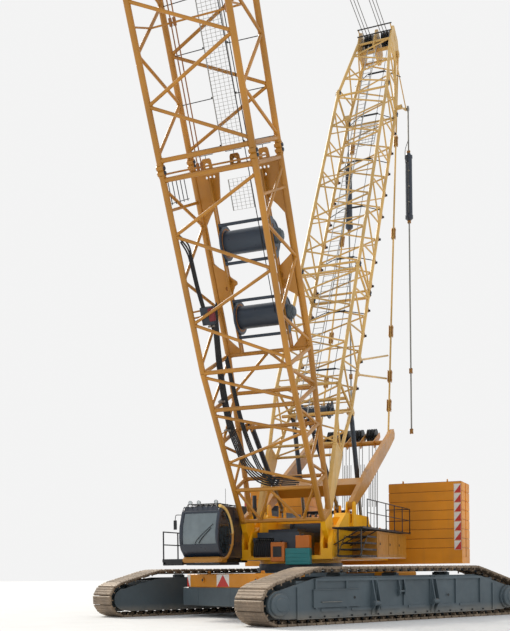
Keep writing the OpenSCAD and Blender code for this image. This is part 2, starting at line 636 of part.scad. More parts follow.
// Counterweight: a tray and two stacks of slabs
tray_z = deck_z - 180;
module weight_tray() color(yellow) {
  block([-weight_front - weight_deep, -weight_out, tray_z],
    [-weight_front, -girder_y - 1, tray_z + tray_t]);
  block([-weight_front - weight_deep, girder_y + 1, tray_z], [-weight_front, weight_out, tray_z + tray_t]);
  block([-frame_rear - 0, -girder_y - 2, tray_z], [-weight_front - 0, girder_y + 2, deck_z]);
}
module stack() for (i = [0 : slab_n - 1]) {
  z = tray_z + tray_t + i * slab_h;
  difference() {
    block([-weight_front - weight_deep, weight_in, z + (i == 0 ? 0 : -0.2)],
      [-weight_front, weight_out, z + slab_h - 14]);
    // Lifting pocket in the end
    block([-weight_front - weight_deep / 2 - 90, weight_out - 90, z - 1],
      [-weight_front - weight_deep / 2 + 90, weight_out + 1, z + slab_h]);
  }
  block([-weight_front - weight_deep + 15, weight_in + 15, z + slab_h - 15],
    [-weight_front - 15, weight_out - 105, z + slab_h]);
}
module weight_slabs() color(yellow) both_sides() stack();

// Lattice work. A station of a lattice is [s, half width, half depth]
function corner(st, sy, sz) = [st[0], sy * st[1], sz * st[2]];
// Point between two stations at share t
function mix(a, b, t) = [for (i = [0 : 2]) a[i] * (1 - t) + b[i] * t];
// A tube of the lattice, its flats turned by roll so that no two edges of neighbours meet
module tube(a, b, d, roll) {
  bar(a, b, d, 8, roll);
}
// Zigzag braces on the four faces, from each node to the next across the face.
// Neighbouring faces meet a chord at different nodes
module bracing(nodes, d, faces = [-1, 1], sides = [-1, 1]) {
  for (i = [0 : len(nodes) - 2]) {
    a = nodes[i];
    b = nodes[i + 1];
    t = i % 2 == 0 ? 1 : -1;
    for (s = faces) tube(corner(a, -s * t, s), corner(b, s * t, s), d, t > 0 ? 13 : 4);
    for (s = sides) tube(corner(a, s, s * t), corner(b, s, -s * t), d, t > 0 ? 13 : 4);
  }
}
module chords(stations, d) {
  for (i = [0 : len(stations) - 2], sy = [-1, 1], sz = [-1, 1])
    tube(corner(stations[i], sy, sz), corner(stations[i + 1], sy, sz), d, 9 + 5 * i);
}
// A frame of tubes across a station, on the faces asked for
module ring(st, d, faces = [-1, 1]) {
  for (s = faces) tube(corner(st, -1, s), corner(st, 1, s), d, 19);
  for (s = [-1, 1]) tube(corner(st, s, -1), corner(st, s, 1), d, 19);
}
// Lugs where two sections meet, one at each chord, on the side of the joint that dir gives
joint_gap = 0.3;
module joints(st, dir, len, w) {
  s0 = dir > 0 ? st[0] + joint_gap / 2 : st[0] - len;
  s1 = dir > 0 ? st[0] + len : st[0] - joint_gap / 2;
  for (sy = [-1, 1], sz = [-1, 1]) {
    p = corner(st, sy, sz);
    block([s0, p[1] - w / 2, p[2] - w / 2], [s1, p[1] + w / 2, p[2] + w / 2]);
  }
}

// Boom. Stations: s along the boom, half width, half depth
hw = boom_w / 2;
hd = boom_d / 2;
leg_s = 900;
leg_half = 430;
leg_foot = 200;
base_end = 13620;
insert_end = 26080;
stop_s = 4300;
// Lugs of the joints: length along the chord, width, and the cross tubes beside them
joint_len = 170;
joint_w = 250;
joint_ring = 290;
joint_ring_d = 150;
chord_in = 60;
base_start = leg_s + leg_foot - 60;
base_start_d = leg_half - 20;
knee_s = 7000;
// Half depth of the foot section, which grows up to its knee
function foot_hd(s) = min(hd,
  base_start_d + (hd - base_start_d) * (s - base_start) / (knee_s - base_start));
function foot_station(s) = [s, hw, foot_hd(s)];
module boom_leg() {
  difference() {
    union() {
      plate([[0, -foot_r], [leg_s - 350, -leg_half], [leg_s, -leg_half], [leg_s, leg_half],
        [leg_s - 350, leg_half],
        [0, foot_r]], hw - leg_t / 2, hw + leg_t / 2);
      shaft(0, 0, hw - leg_t / 2, hw + leg_t / 2, foot_r);
    }
    shaft(0, 0, hw - 91, hw + 91, pin_r + pin_gap);
  }
}
module boom_legs() color(yellow) boom_frame() both_sides() boom_leg();
// Ears that carry the tube of a backstop, on a lattice's rear bar at depth low
module tube_ears(s, d, y, low) {
  for (side = [-1, 1]) {
    y0 = y + side * (stop_eye + side_gap + ear_t / 2) - ear_t / 2;
    plate([[s - 170, low], [s - 90, d + 90], [s + 90, d + 90], [s + 170, low]], y0, y0 + ear_t);
  }
  shaft(s, d, y - stop_eye - side_gap - 1, y + stop_eye + side_gap + 1, stop_pin_r);
}
// Foot section: cross frames, and the zigzag of its front between the lowest two
foot_rings = [2350, 5600, knee_s];
front_nodes = [for (s = [2500, 3480, 4500, 5400]) foot_station(s)];
side_nodes = [for (s = [2450, 3300, 4200, 5450]) foot_station(s)];
knee_nodes = [for (s = [5750, 6850]) foot_station(s)];
bay = 1450;
base_nodes = [for (i = [0 : 4]) [7250 + i * bay, hw, hd]];
// Front of the foot: each tube's places across at the top and at the bottom of its bay
foot_front = [[-1500, -850], [-200, -850], [-200, 750], [1550, 850]];
// Foundation plates of the winches in the rear face: place along, distance from the middle
winch_plate = [[13300, hw], [13300, 640], [12400, 780], [11900, 1250], [11600, 1470], [10300, 1470],
  [9900, 1100],
  [9620, 760], [9350, 880], [9000, 1300], [8800, 1470], [7600, 1470], [7300, 1200], [7000, 900],
    [6900, hw]];
winch_plate_t = 60;
winch_plate_d = hd - winch_plate_t / 2;
// Holes of a foundation plate, one row across and one below it: place along, distance from the middle
winch_holes = [[13120, 860], [13120, 1000], [13120, 1140], [12900, 1000]];
module winch_foundation() difference() {
  translate([0, 0, winch_plate_d]) linear_extrude(winch_plate_t) polygon(winch_plate);
  for (h = winch_holes) translate([h[0], h[1], winch_plate_d - 1])
    cylinder(h = winch_plate_t + 2, r = 45, $fn = 24);
}
module boom_base() color(yellow) boom_frame() {
  // Feet of the lattice on the ends of the leg plates
  both_sides() block([leg_s, hw - leg_t / 2, -leg_half], [leg_s + leg_foot, hw + leg_t / 2, leg_half]);
  chords([foot_station(base_start), foot_station(knee_s), [base_end - chord_in, hw, hd]], boom_chord);
  both_sides() tube_ears(stop_s, stop_d, stop_y, foot_hd(stop_s));
  for (s = foot_rings) ring(foot_station(s), joint_ring_d);
  ring(foot_station(stop_s), joint_ring_d, [1]);
  ring(foot_station(leg_s + leg_foot / 2), joint_ring_d, [-1]);
  bracing(front_nodes, boom_brace, [-1], []);
  bracing(side_nodes, boom_brace, []);
  bracing(knee_nodes, boom_brace, [-1]);
  for (f = foot_front) tube([foot_rings[0], f[0], -foot_hd(foot_rings[0])],
    [leg_s + leg_foot / 2, f[1], -foot_hd(leg_s + leg_foot / 2)], boom_brace, 7);
  // Brace of the rear face above the backstops, from the middle of its top tube
  both_sides() tube([foot_rings[1], hw, foot_hd(foot_rings[1])], [knee_s, 0, hd], boom_brace, 7);
  bracing(base_nodes, boom_brace, [-1]);
  ring([12400, hw, hd], 100, []);
  ring([base_end - joint_ring, hw, hd], joint_ring_d);
  joints([base_end, hw, hd], -1, joint_len, joint_w);
  both_sides() winch_foundation();
}
// Winches in the rear face of the foot section: place along the boom, drum radius
boom_drums = [[8300, 410], [10900, 410]];
drum_d = hd + 75;
drum_half = 850;
flange_t = 70;
flange_more = 190;
winch_frame_y = drum_half + flange_t + 15;
winch_frame_t = 70;
tie_s = 650;
tie_d = 1010;
module boom_winches() color(dark) boom_frame() {
  for (d = boom_drums) {
    shaft(d[0], drum_d, -drum_half, drum_half, d[1]);
    both_sides() {
      shaft(d[0], drum_d, drum_half, drum_half + flange_t, d[1] + flange_more);
      shaft(d[0], drum_d, drum_half, winch_frame_y, 150);
      plate([[d[0] - tie_s, winch_plate_d], [d[0] - 190, drum_d + 190], [d[0] + 190, drum_d + 190],
        [d[0] + tie_s, winch_plate_d]], winch_frame_y, winch_frame_y + winch_frame_t);
    }
    // Gearbox outside the left end
    shaft(d[0], drum_d, winch_frame_y + winch_frame_t, winch_frame_y + 220, 260);
    shaft(d[0], drum_d, winch_frame_y + 220, winch_frame_y + 300, 170);
    for (s = [-tie_s, tie_s]) shaft(d[0] + s, tie_d, -winch_frame_y, winch_frame_y, 55);
  }
  // Rails under the foundation plates, which carry both winches
  both_sides() block([knee_s + 90, winch_frame_y, winch_plate_d - 250],
    [13100, winch_frame_y + winch_frame_t, winch_plate_d]);
}
insert_nodes = [for (i = [0 : 8]) [base_end + 430 + i * (insert_end - base_end - 860) / 8, hw, hd]];
module boom_insert() color(yellow) boom_frame() {
  chords([[base_end + chord_in, hw, hd], [insert_end - chord_in, hw, hd]], boom_chord);
  bracing(insert_nodes, boom_brace);
  ring([base_end + joint_ring, hw, hd], joint_ring_d);
  ring([insert_end - joint_ring, hw, hd], joint_ring_d);
  joints([base_end, hw, hd], 1, joint_len, joint_w);
  joints([insert_end, hw, hd], -1, joint_len, joint_w);
}
// Bore for a fly jib's pin: forward of the head shaft and its depth
jib_s = 230;
jib_d = 300;
jib_pin_r = 60;
// The head section narrows to the plates that carry the sheaves
head_w = 700;
head_d = 480;
head_start = boom_len - 1500;
function head_station(s) = mix([s, hw, hd], [s, head_w, head_d],
  (s - insert_end) / (head_start - insert_end));
head_nodes = [for (i = [0 : 6]) head_station(insert_end + 430 + i * (head_start - insert_end - 430) / 6)];
module boom_head() color(yellow) boom_frame() {
  chords([head_station(insert_end + chord_in), head_station(head_start)], boom_chord);
  bracing(head_nodes, boom_brace);
  ring(head_station(insert_end + joint_ring), joint_ring_d);
  joints([insert_end, hw, hd], 1, joint_len, joint_w);
  ring(head_station(head_start), joint_ring_d);
  // Head plates with the shaft bores of the load sheaves and of the pendants
  for (y = [-head_w - 45, -45, head_w - 45]) difference() {
    plate([[boom_len - 1700, -560], [boom_len - 300, -1050], [boom_len + 200, -1000],
      [boom_len + 420, -300],
      [boom_len + 300, 900], [boom_len - 150, 1150], [boom_len - 1700, 560]], y, y + 90);
    shaft(boom_len + jib_s, jib_d, y - 1, y + 91, jib_pin_r);
  }
  // Heads of the pendants' pins, on the outer plates
  both_sides() shaft(boom_len, 800, head_w + 44, head_w + 45 + side_gap - pane_gap, pin_r + 30);
  for (z = [-420, 420]) shaft(boom_len - 1300, z, -head_w, head_w, 80);
}
sheave_r = 520;
sheave_w = 90;
load_sheaves = [-560, -400, -240, 150, 310, 470];
groove = 60;
groove_half = 20;
// A rope sheave along Y at [x, z], with its groove
module sheave(x, z, y, r, w) difference() {
  shaft(x, z, y, y + w, r);
  translate([x, y + w / 2, z]) rotate([90, 0, 0]) rotate_extrude($fn = 48)
    translate([r, 0]) polygon([[1, -w / 2 + 7], [1, w / 2 - 7], [-groove, groove_half],
      [-groove, -groove_half]]);
}
load_s = boom_len - 50;
load_d = -750;
module boom_sheaves() color(dark) boom_frame() {
  for (y = load_sheaves) sheave(load_s, load_d, y, sheave_r, sheave_w);
  shaft(load_s, load_d, -head_w + 45, -45, 100);
  shaft(load_s, load_d, 45, head_w - 45, 100);
}
// Mast. Stations: s along the mast, half width, half depth
mw0 = mast_w / 2;
mw1 = mast_top_w / 2;
md = mast_d / 2;
mast_leg_s = 2900;
mast_mid = 12000;
shoulder = mast_len - 4900;
mast_joint_len = 150;
mast_joint_w = 190;
mast_ring_d = 100;
function mast_hw(s) = mw0 + (mw1 - mw0) * s / shoulder;
mast_foot_len = 150;
mstop_s = 5600;
mast_start_d = 370;
function mast_station(s) = [s, mast_hw(s), s < mstop_s ? mast_start_d + (md - mast_start_d) *
  (s - mast_leg_s) / (mstop_s - mast_leg_s) : md];
mast_foot_nodes = [for (i = [0 : 2]) mast_station(mast_leg_s + 200 + i * (mstop_s - mast_leg_s - 300) / 2)];
mast_base_nodes = [for (i = [0 : 6]) mast_station(mstop_s + 150 + i * (mast_mid - mstop_s - 450) / 6)];
module mast_leg() difference() {
  union() {
    plate([[0, -mast_eye_r], [mast_leg_s - 200, -440], [mast_leg_s, -440], [mast_leg_s, 440],
      [mast_leg_s - 200, 440], [0, mast_eye_r]],
      mast_leg_in, mast_leg_out);
    shaft(0, 0, mast_leg_in, mast_leg_out, mast_eye_r);
  }
  shaft(0, 0, mast_leg_in - 1, mast_leg_out + 1, pin_r + pin_gap);
}
// Guide arms beside the rear stay: start along the mast, height of the end on the stay
guide_arms = [[7600, 10800], [8400, 11950]];
guide_foot = 90;
guide_seat = md + 150;
function stay_x(z) = stay_top[0] + (stay_low[0] - stay_top[0]) * (z - stay_top[1])
  / (stay_low[1] - stay_top[1]);
module mast_legs() color(yellow) mast_frame() both_sides() mast_leg();
module mast_base() color(yellow) mast_frame() {
  both_sides() {
    block([mast_leg_s, mast_leg_in, -440], [mast_leg_s + mast_foot_len, mast_leg_out, 440]);
    tube_ears(mstop_s, mstop_d, mstop_y, md);
  }
  ring(mast_station(mstop_s), 110);
  chords([mast_station(mast_leg_s + 110), mast_station(mstop_s), mast_station(mast_mid - chord_in)],
    mast_chord);
  bracing(mast_foot_nodes, mast_brace);
  bracing(mast_base_nodes, mast_brace);
  ring(mast_station(mast_leg_s + 110), 110);
  ring(mast_station(mast_mid - 200), mast_ring_d);
  joints([mast_mid, mast_hw(mast_mid), md], -1, mast_joint_len, mast_joint_w);
  // Beams under the mast's winch
  for (s = [-winch_beam_s, winch_beam_s])
    block([mast_winch_s + s - 50, -mast_hw(mstop_s) + 20, winch_beam_d - 110],
    [mast_winch_s + s + 50, mast_hw(mstop_s) - 20, winch_beam_d]);
  // Seats of the guide arms
  both_sides() for (g = guide_arms) block([g[0] - guide_foot, mast_hw(g[0]) - 60, md],
    [g[0] + guide_foot, mast_hw(g[0]) + 60, guide_seat]);
}
// Long arms from seats on the mast's rear chords to the rear stay, which they keep from swaying
module mast_guides() color(yellow) both_sides() for (g = guide_arms) {
  y = mast_hw(g[0]);
  a = mast_point(g[0], guide_seat + 35);
  mast_frame() block([g[0] - guide_foot, y - 60, guide_seat], [g[0] + guide_foot, y + 60, guide_seat + 60]);
  tube([a[0], y, a[1]], [stay_x(g[1]), stay_low_y - 265, g[1]], 90, 16);
}
// Small winch between the mast's legs, on two beams of the lattice
mast_winch_s = 5250;
mast_winch_d = 400;
winch_beam_s = 350;
winch_beam_d = 170;
module mast_winch() color(dark) mast_frame() {
  shaft(mast_winch_s, mast_winch_d, -560, 560, 230);
  both_sides() {
    shaft(mast_winch_s, mast_winch_d, 560, 610, 330);
    shaft(mast_winch_s, mast_winch_d, 610, 800, 110);
    plate([[mast_winch_s - winch_beam_s - 50, winch_beam_d],
      [mast_winch_s - winch_beam_s - 50, winch_beam_d + 60],
      [mast_winch_s - 160, mast_winch_d + 160], [mast_winch_s + 160, mast_winch_d + 160],
      [mast_winch_s + winch_beam_s + 50, winch_beam_d + 60],
        [mast_winch_s + winch_beam_s + 50, winch_beam_d]], 700, 750);
  }
}
mast_upper_nodes = [for (i = [0 : 11]) mast_station(mast_mid + 250 + i * (shoulder - mast_mid - 550) / 11)];
module mast_upper() color(yellow) mast_frame() {
  chords([mast_station(mast_mid + chord_in), mast_station(shoulder - chord_in)], mast_chord);
  bracing(mast_upper_nodes, mast_brace);
  ring(mast_station(mast_mid + 200), mast_ring_d);
  ring(mast_station(shoulder - 200), mast_ring_d);
  joints([mast_mid, mast_hw(mast_mid), md], 1, mast_joint_len, mast_joint_w);
  joints([shoulder, mw1, md], -1, mast_joint_len, mast_joint_w);
}
mast_head_w = 850;
mast_head_d = 560;
mast_head_s = mast_len - 800;
function mast_head_station(s) = mix([s, mw1, md], [s, mast_head_w, mast_head_d],
  (s - shoulder) / (mast_head_s - shoulder));
mast_head_nodes = [for (i = [0 : 4]) mast_head_station(shoulder + 250 + i * (mast_head_s - shoulder - 250)
  / 4)];
// Arm of a heavy lift pendant: its root on the rear chord and its width there
bracket_root = shoulder + 350;
bracket_w = 240;
bracket_s = mast_len - 3600;
bracket_d = md + 700;
pendant_x = mast_point(bracket_s, bracket_d)[0];
pendant_z = mast_point(bracket_s, bracket_d)[1];
pendant_y = 1600;
module mast_head() color(yellow) {
  mast_frame() {
    chords([mast_head_station(shoulder + chord_in), mast_head_station(mast_head_s)], mast_chord);
    bracing(mast_head_nodes, mast_brace);
    joints([shoulder, mw1, md], 1, mast_joint_len, mast_joint_w);
    ring(mast_head_station(mast_head_s), 110);
    for (y = [-mast_head_w - 40, -40, mast_head_w - 40])
      plate([[mast_len - 1100, -600], [mast_len + 100, -620], [mast_len + 420, -400], [mast_len + 420, 400],
        [mast_len + 100, 860], [mast_len - 700, 860], [mast_len - 1100, 600]], y, y + 80);
    // Pins of the rear stay, outside the plates
    both_sides() shaft(stay_s, stay_d, mast_head_w + 39, stay_y + 60, stay_pin_r);
    shaft(mast_len - 700, 0, -mast_head_w, mast_head_w, 90);
    // Outriggers for the heavy lift pendants
    both_sides() {
      plate([[bracket_root, md - 120], [bracket_root + bracket_w, md - 120],
        [bracket_root + bracket_w + 60, md + 120],
        [bracket_s + 90, bracket_d], [bracket_s + 40, bracket_d + 90], [bracket_s - 60, bracket_d + 80]],
        pendant_y - 150, pendant_y - 70);
      block([bracket_root, mw1 - 80, md - 110], [bracket_root + bracket_w, pendant_y - 70, md]);
      tube([mast_len - 700, mast_head_w, mast_head_d + 160], [bracket_s, pendant_y - 110, bracket_d], 60,
        16);
      shaft(bracket_s, bracket_d, pendant_y - 71, pendant_y + 40, 45);
    }
  }
}
head_sheaves = [-600, -440, -280, 280, 440, 600];
head_sheave_r = 400;
stay_s = mast_len - 450;
stay_d = 620;
stay_y = 960;
stay_pin_r = 60;
module mast_sheaves() color(dark) mast_frame() {
  for (y = head_sheaves) sheave(mast_len, 0, y - 50, head_sheave_r, 100);
  shaft(mast_len, 0, -mast_head_w + 40, -40, 90);
  shaft(mast_len, 0, 40, mast_head_w - 40, 90);
}

// Rear frame: two beams and a cross box
module rear_frame() color(yellow) aframe_frame() {
  both_sides() {
    difference() {
      union() {
        plate([[0, -rear_eye_r], [2600, -330], [aframe_len - 400, -260], [aframe_len + 240, -200],
          [aframe_len + 300, 60],
          [aframe_len + 150, 230], [aframe_len - 900, 300], [2600, 330], [0, rear_eye_r]], aframe_y - 90,
            aframe_y + 90);
        shaft(0, 0, aframe_y - 90, aframe_y + 90, rear_eye_r);
      }
      shaft(0, 0, aframe_y - 91, aframe_y + 91, pin_r - 20 + pin_gap);
    }
  }
  block([1500, -aframe_y + 89, -250], [2150, aframe_y - 89, 250]);
  shaft(aframe_len - 900, 0, -aframe_y + 89, aframe_y - 89, 110);
  both_sides() shaft(aframe_len, 0, aframe_y - 190, aframe_y - 89, stay_pin_r);
  for (y = [-1340, -700, -60, 580, 1220])
    plate([[aframe_len - 1100, -160], [aframe_len + 120, -120], [aframe_len + 120, 120],
    [aframe_len - 1100, 160]], y, y + 40);
}
rear_sheave_r = 340;
rear_sheaves = [-1200, -1040, -880, -560, -400, -240, 80, 240, 400, 720, 880, 1040];
module rear_frame_sheaves() color(dark) aframe_frame() {
  for (y = rear_sheaves) sheave(aframe_len, 0, y, rear_sheave_r, 80);
  for (y = [-1300, -660, -20, 620]) shaft(aframe_len, 0, y, y + 600, 60);
}

// Rear stay: bars from the mast head to the rear frame's head
stay_top = mast_point(stay_s, stay_d);
stay_low = aframe_point(aframe_len, 0);
stay_low_y = aframe_y - 145;
stay_play = 25;
module rear_stay() color(yellow) both_sides() {
  a = [stay_top[0], stay_y, stay_top[1]];
  b = [stay_low[0], stay_low_y, stay_low[1]];
  u = (b - a) / norm(b - a);
  difference() {
    union() {
      bar(a + u * 130, b - u * 125, 90);
      for (t = [0.25, 0.5, 0.75, 0.86, 0.93])
        bar(a + (b - a) * t - u * 260, a + (b - a) * t + u * 260, 190, 4);
      shaft(a[0], a[2], a[1] - 40, a[1] + 40, 170);
      shaft(b[0], b[2], b[1] - 40, b[1] + 40, 170);
    }
    shaft(a[0], a[2], a[1] - 60, a[1] + 60, stay_pin_r + pin_gap);
    shaft(b[0], b[2], b[1] - 60, b[1] + 60, stay_pin_r + stay_play);
  }
}

// Luffing tackle between the mast head and the boom head
tackle_a = mast_point(mast_len, 0);
tackle_b = boom_point(boom_len, 800);
tackle_v = [tackle_b[0] - tackle_a[0], tackle_b[1] - tackle_a[1]];
tackle_len = norm(tackle_v);
tackle_rise = atan2(tackle_v[1], tackle_v[0]);
fall_d = 34;
falls_len = 20300;
block_s = 24800;
far_start = 9000;
far_y = [-520, -360, -200, 200, 360, 520];
block_rise = 150;
block_sheave_r = 250;
module tackle_frame() translate([tackle_a[0], 0, tackle_a[1]]) rotate([0, -tackle_rise, 0]) children();
module luff_falls() color(steel) tackle_frame()
  for (y = head_sheaves) bar([head_sheave_r - groove + pane_gap, y, 0], [falls_len, y, 0], fall_d, 6);
pendant_lane = head_w + 45 + side_gap + 45;
module luff_pendants() color(yellow) tackle_frame() {
  both_sides() {
    plate([[block_s - 350, block_rise - 90], [block_s + 500, block_rise - 90], [block_s + 700, 0 + 40],
      [block_s + 700, block_rise + 60],
      [block_s + 300, block_rise + 260], [block_s - 350, block_rise + 200]], pendant_lane - 35,
        pendant_lane + 35);
    bar([block_s + 500, pendant_lane, block_rise - 30], [tackle_len - 150, pendant_lane, 0], 88);
    shaft(tackle_len, 0, pendant_lane - 45, pendant_lane + 45, 190);
  }
  shaft(block_s, block_rise, -pendant_lane, pendant_lane, 70);
  shaft(block_s + 400, block_rise + 60, -pendant_lane, pendant_lane, 60);
  for (y = far_y) shaft(block_s, block_rise, y - 30, y + 30, block_sheave_r);
}
module luff_far_falls() color(steel) tackle_frame() for (y = far_y)
  bar([far_start, y, block_rise], [block_s - block_sheave_r - pane_gap, y, block_rise], fall_d, 6);

// Rear tackle: falls from the rear frame's head and from the deck, side by side
rear_a = aframe_point(aframe_len, 0);
rear_v = [anchor_x - rear_a[0], anchor_z - rear_a[1]];
rear_len = norm(rear_v);
rear_u = rear_v / rear_len;
rear_rope = 30;
up_len = rear_len - 1100;
low_len = rear_len - 1300;
low_shift = 80;
rear_start = rear_sheave_r - groove + pane_gap;
anchor_r = 55;
module rear_falls_upper() color(steel) for (y = rear_sheaves)
  bar([rear_a[0], y + 40, rear_a[1]] + rear_start * [rear_u[0], 0, rear_u[1]],
    [rear_a[0], y + 40, rear_a[1]] + up_len * [rear_u[0], 0, rear_u[1]], rear_rope, 6);
module rear_falls_lower() color(steel) for (y = rear_sheaves)
  bar([anchor_x, y + 40 + low_shift, anchor_z] - (anchor_r + pane_gap) * [rear_u[0], 0, rear_u[1]],
    [anchor_x, y + 40 + low_shift, anchor_z] - low_len * [rear_u[0], 0, rear_u[1]], rear_rope, 6);

// Backstops: a tube hung from the lattice and a rod that ends at the deck
// Boom: pin at boom s, depth
stop_d = 1150;
stop_y = 1190;
stop_top = boom_point(stop_s, stop_d);
mstop_d = 1150;
mstop_y = 1290;
mstop_top = mast_point(mstop_s, mstop_d);
tube_r = 100;
rod_r = 70;
function unit2(a, b) = (b - a) / norm(b - a);
stop_head = 300;
collar = 15;
module along(p, y, u) translate([p[0], y, p[1]]) rotate([0, atan2(u[0], u[1]), 0]) children();
// A tube from a towards b, in XZ at y, bored from its low end, with a flat eye at its top
module stop_tube(a, b, y, tube_len) {
  u = unit2(a, b);
  difference() {
    union() {
      shaft(a[0], a[1], y - stop_eye, y + stop_eye, 120);
      along(a, y, u) block([-85, -stop_eye, 0], [85, stop_eye, stop_head + 25]);
      along(a, y, u) translate([0, 0, stop_head]) cylinder(h = tube_len - stop_head, r = tube_r, $fn = 32);
      along(a, y, u) translate([0, 0, tube_len - 160]) cylinder(h = 120, r = tube_r + collar, $fn = 32);
    }
    shaft(a[0], a[1], y - 120, y + 120, stop_pin_r + pin_gap);
    along(a, y, u) translate([0, 0, stop_head + 40]) cylinder(h = tube_len, r = rod_r + pin_gap, $fn = 32);
  }
}
// A rod from its eye b up into its tube
module stop_rod(a, b, y, rod_len) {
  u = unit2(b, a);
  shaft(b[0], b[1], y - stop_eye, y + stop_eye, 110);
  along(b, y, u) cylinder(h = rod_len, r = rod_r, $fn = 32);
}
stop_tube_len = 2950;
stop_rod_len = 3050;
mstop_tube_len = 3400;
mstop_rod_len = 3500;
stop_low = [stop_low_x, stop_low_z];
mstop_low = [mstop_low_x, mstop_low_z];
module boom_stop_tubes() color(dark) both_sides() stop_tube(stop_top, stop_low, stop_y, stop_tube_len);
module boom_stop_rods() color(dark) both_sides() stop_rod(stop_top, stop_low, stop_y, stop_rod_len);
module mast_stop_tubes() color(dark) both_sides() stop_tube(mstop_top, mstop_low, mstop_y, mstop_tube_len);
module mast_stop_rods() color(dark) both_sides() stop_rod(mstop_top, mstop_low, mstop_y, mstop_rod_len);

// Heavy lift pendants, hanging from the mast head with their cylinders
// Parts of a pendant: depth below its pin, length, radius
pendant_parts = [[0, 2250, 45], [2400, 3300, 230], [5700, 7700, 45], [13500, 3000, 45]];
// A coupler lies across each end between two parts
coupler_len = 260;
pendant_couplers = [for (p = pendant_parts) p[0] + p[1] - 100];
module heavy_lift_pendants() both_sides() {
  difference() {
    union() {
      color(steel) shaft(pendant_x, pendant_z, pendant_y - 60, pendant_y + 40, 130);
      color(steel) for (p = pendant_parts) if (p[2] < 100)
        translate([pendant_x, pendant_y, pendant_z - p[0] - p[1]]) cylinder(h = p[1], r = p[2], $fn = 24);
      color(dark) for (p = pendant_parts) if (p[2] > 100) {
        translate([pendant_x, pendant_y, pendant_z - p[0] - p[1]]) cylinder(h = p[1], r = p[2], $fn = 32);
      }
      color(dark) for (z = pendant_couplers)
        block([pendant_x - 110, pendant_y - 70, pendant_z - z - coupler_len],
          [pendant_x + 110, pendant_y + 70, pendant_z - z]);
    }
    shaft(pendant_x, pendant_z, pendant_y - 71, pendant_y + 71, 45 + pin_gap);
    shaft(pendant_x, pendant_z - pendant_couplers[3] - coupler_len + 100, pendant_y - 71, pendant_y + 71,
      45);
  }
}

// Hook, its ropes and its block, hanging from the boom head
hook_rope = 36;
hook_x = boom_point(load_s, load_d)[0] + sheave_r - groove + hook_rope / 2 + pane_gap;
hook_z = boom_point(load_s, load_d)[1];
hook_drop = 5200;
module hook_ropes() color(steel) for (y = load_sheaves)
  translate([hook_x, y + sheave_w / 2, hook_z - hook_drop]) cylinder(h = hook_drop, d = hook_rope, $fn = 6);
module hook_block() {
  z = hook_z - hook_drop;
  color(yellow) for (y = [-640, -40, 560]) plate([[hook_x - 350, z - 1100], [hook_x - 400, z - 500],
    [hook_x - 250, z - 60],
    [hook_x + 250, z - 60], [hook_x + 400, z - 500], [hook_x + 350, z - 1100]], y, y + 80);
  color(dark) {
    shaft(hook_x, z - 360, -560, 560, 80);
    for (y = load_sheaves) shaft(hook_x, z - 360 - pane_gap, y, y + sheave_w, 360);
    block([hook_x - 260, -560, z - 1350], [hook_x + 260, 560, z - 1000]);
    translate([hook_x, 0, z - 1980]) cylinder(h = 650, r = 140, $fn = 32);
    // Ramshorn hook: two open horns
    translate([hook_x, 0, z - 2150]) rotate([90, 0, 90]) for (m = [0, 1]) mirror([m, 0, 0]) translate([330,
      0, -90])
      difference() {
        cylinder(h = 180, r = 420, $fn = 48);
        translate([0, 0, -1]) cylinder(h = 182, r = 230, $fn = 48);
        translate([-60, 60, -1]) cube([500, 500, 182]);
      }
  }
}

track_left();
track_right();
track_frames();
track_wheels();
carbody();
carbody_weights();
slew_ring();
upper_frame();
deck_tank();
engine_house();
deck_winches();
walkway_left();
cab_platform();
cab_shell();
cab_glass();
cab_seat();
cab_door();
cab_door_glass();
weight_tray();
weight_slabs();
boom_legs();
boom_base();
boom_insert();
boom_head();
boom_winches();
boom_sheaves();
mast_legs();
mast_base();
mast_guides();
mast_winch();
mast_upper();
mast_head();
mast_sheaves();
rear_frame();
rear_frame_sheaves();
rear_stay();
luff_falls();
luff_pendants();
luff_far_falls();
rear_falls_upper();
rear_falls_lower();
boom_stop_tubes();
boom_stop_rods();
mast_stop_tubes();
mast_stop_rods();
heavy_lift_pendants();
hook_ropes();
hook_block();
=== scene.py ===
import json
import math
import random
from contextlib import contextmanager
from itertools import product

import bpy
from mathutils import Matrix, Vector
from mathutils.geometry import tessellate_polygon

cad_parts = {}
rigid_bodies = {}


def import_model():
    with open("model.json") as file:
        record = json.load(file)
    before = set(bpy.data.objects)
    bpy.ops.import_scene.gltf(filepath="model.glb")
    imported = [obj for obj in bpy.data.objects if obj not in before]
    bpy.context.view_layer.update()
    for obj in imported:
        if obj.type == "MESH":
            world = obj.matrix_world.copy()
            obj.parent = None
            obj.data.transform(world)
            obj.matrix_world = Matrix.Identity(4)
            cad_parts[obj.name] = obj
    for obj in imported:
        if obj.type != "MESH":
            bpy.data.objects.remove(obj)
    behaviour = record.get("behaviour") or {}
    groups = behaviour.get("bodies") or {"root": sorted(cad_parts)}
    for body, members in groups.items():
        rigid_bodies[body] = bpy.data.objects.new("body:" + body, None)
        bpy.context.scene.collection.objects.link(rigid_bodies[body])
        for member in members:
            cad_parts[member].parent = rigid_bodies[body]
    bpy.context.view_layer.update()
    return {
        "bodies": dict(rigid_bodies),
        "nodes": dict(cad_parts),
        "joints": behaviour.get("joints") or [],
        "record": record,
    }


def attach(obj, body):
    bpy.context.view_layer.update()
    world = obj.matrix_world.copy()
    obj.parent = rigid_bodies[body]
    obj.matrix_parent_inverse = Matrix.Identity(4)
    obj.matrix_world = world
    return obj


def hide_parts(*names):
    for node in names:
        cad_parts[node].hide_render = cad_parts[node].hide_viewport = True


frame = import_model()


def show(name, data):
    """Puts an object with this data into the scene."""
    ob = bpy.data.objects.new(name, data)
    bpy.context.scene.collection.objects.link(ob)
    return ob


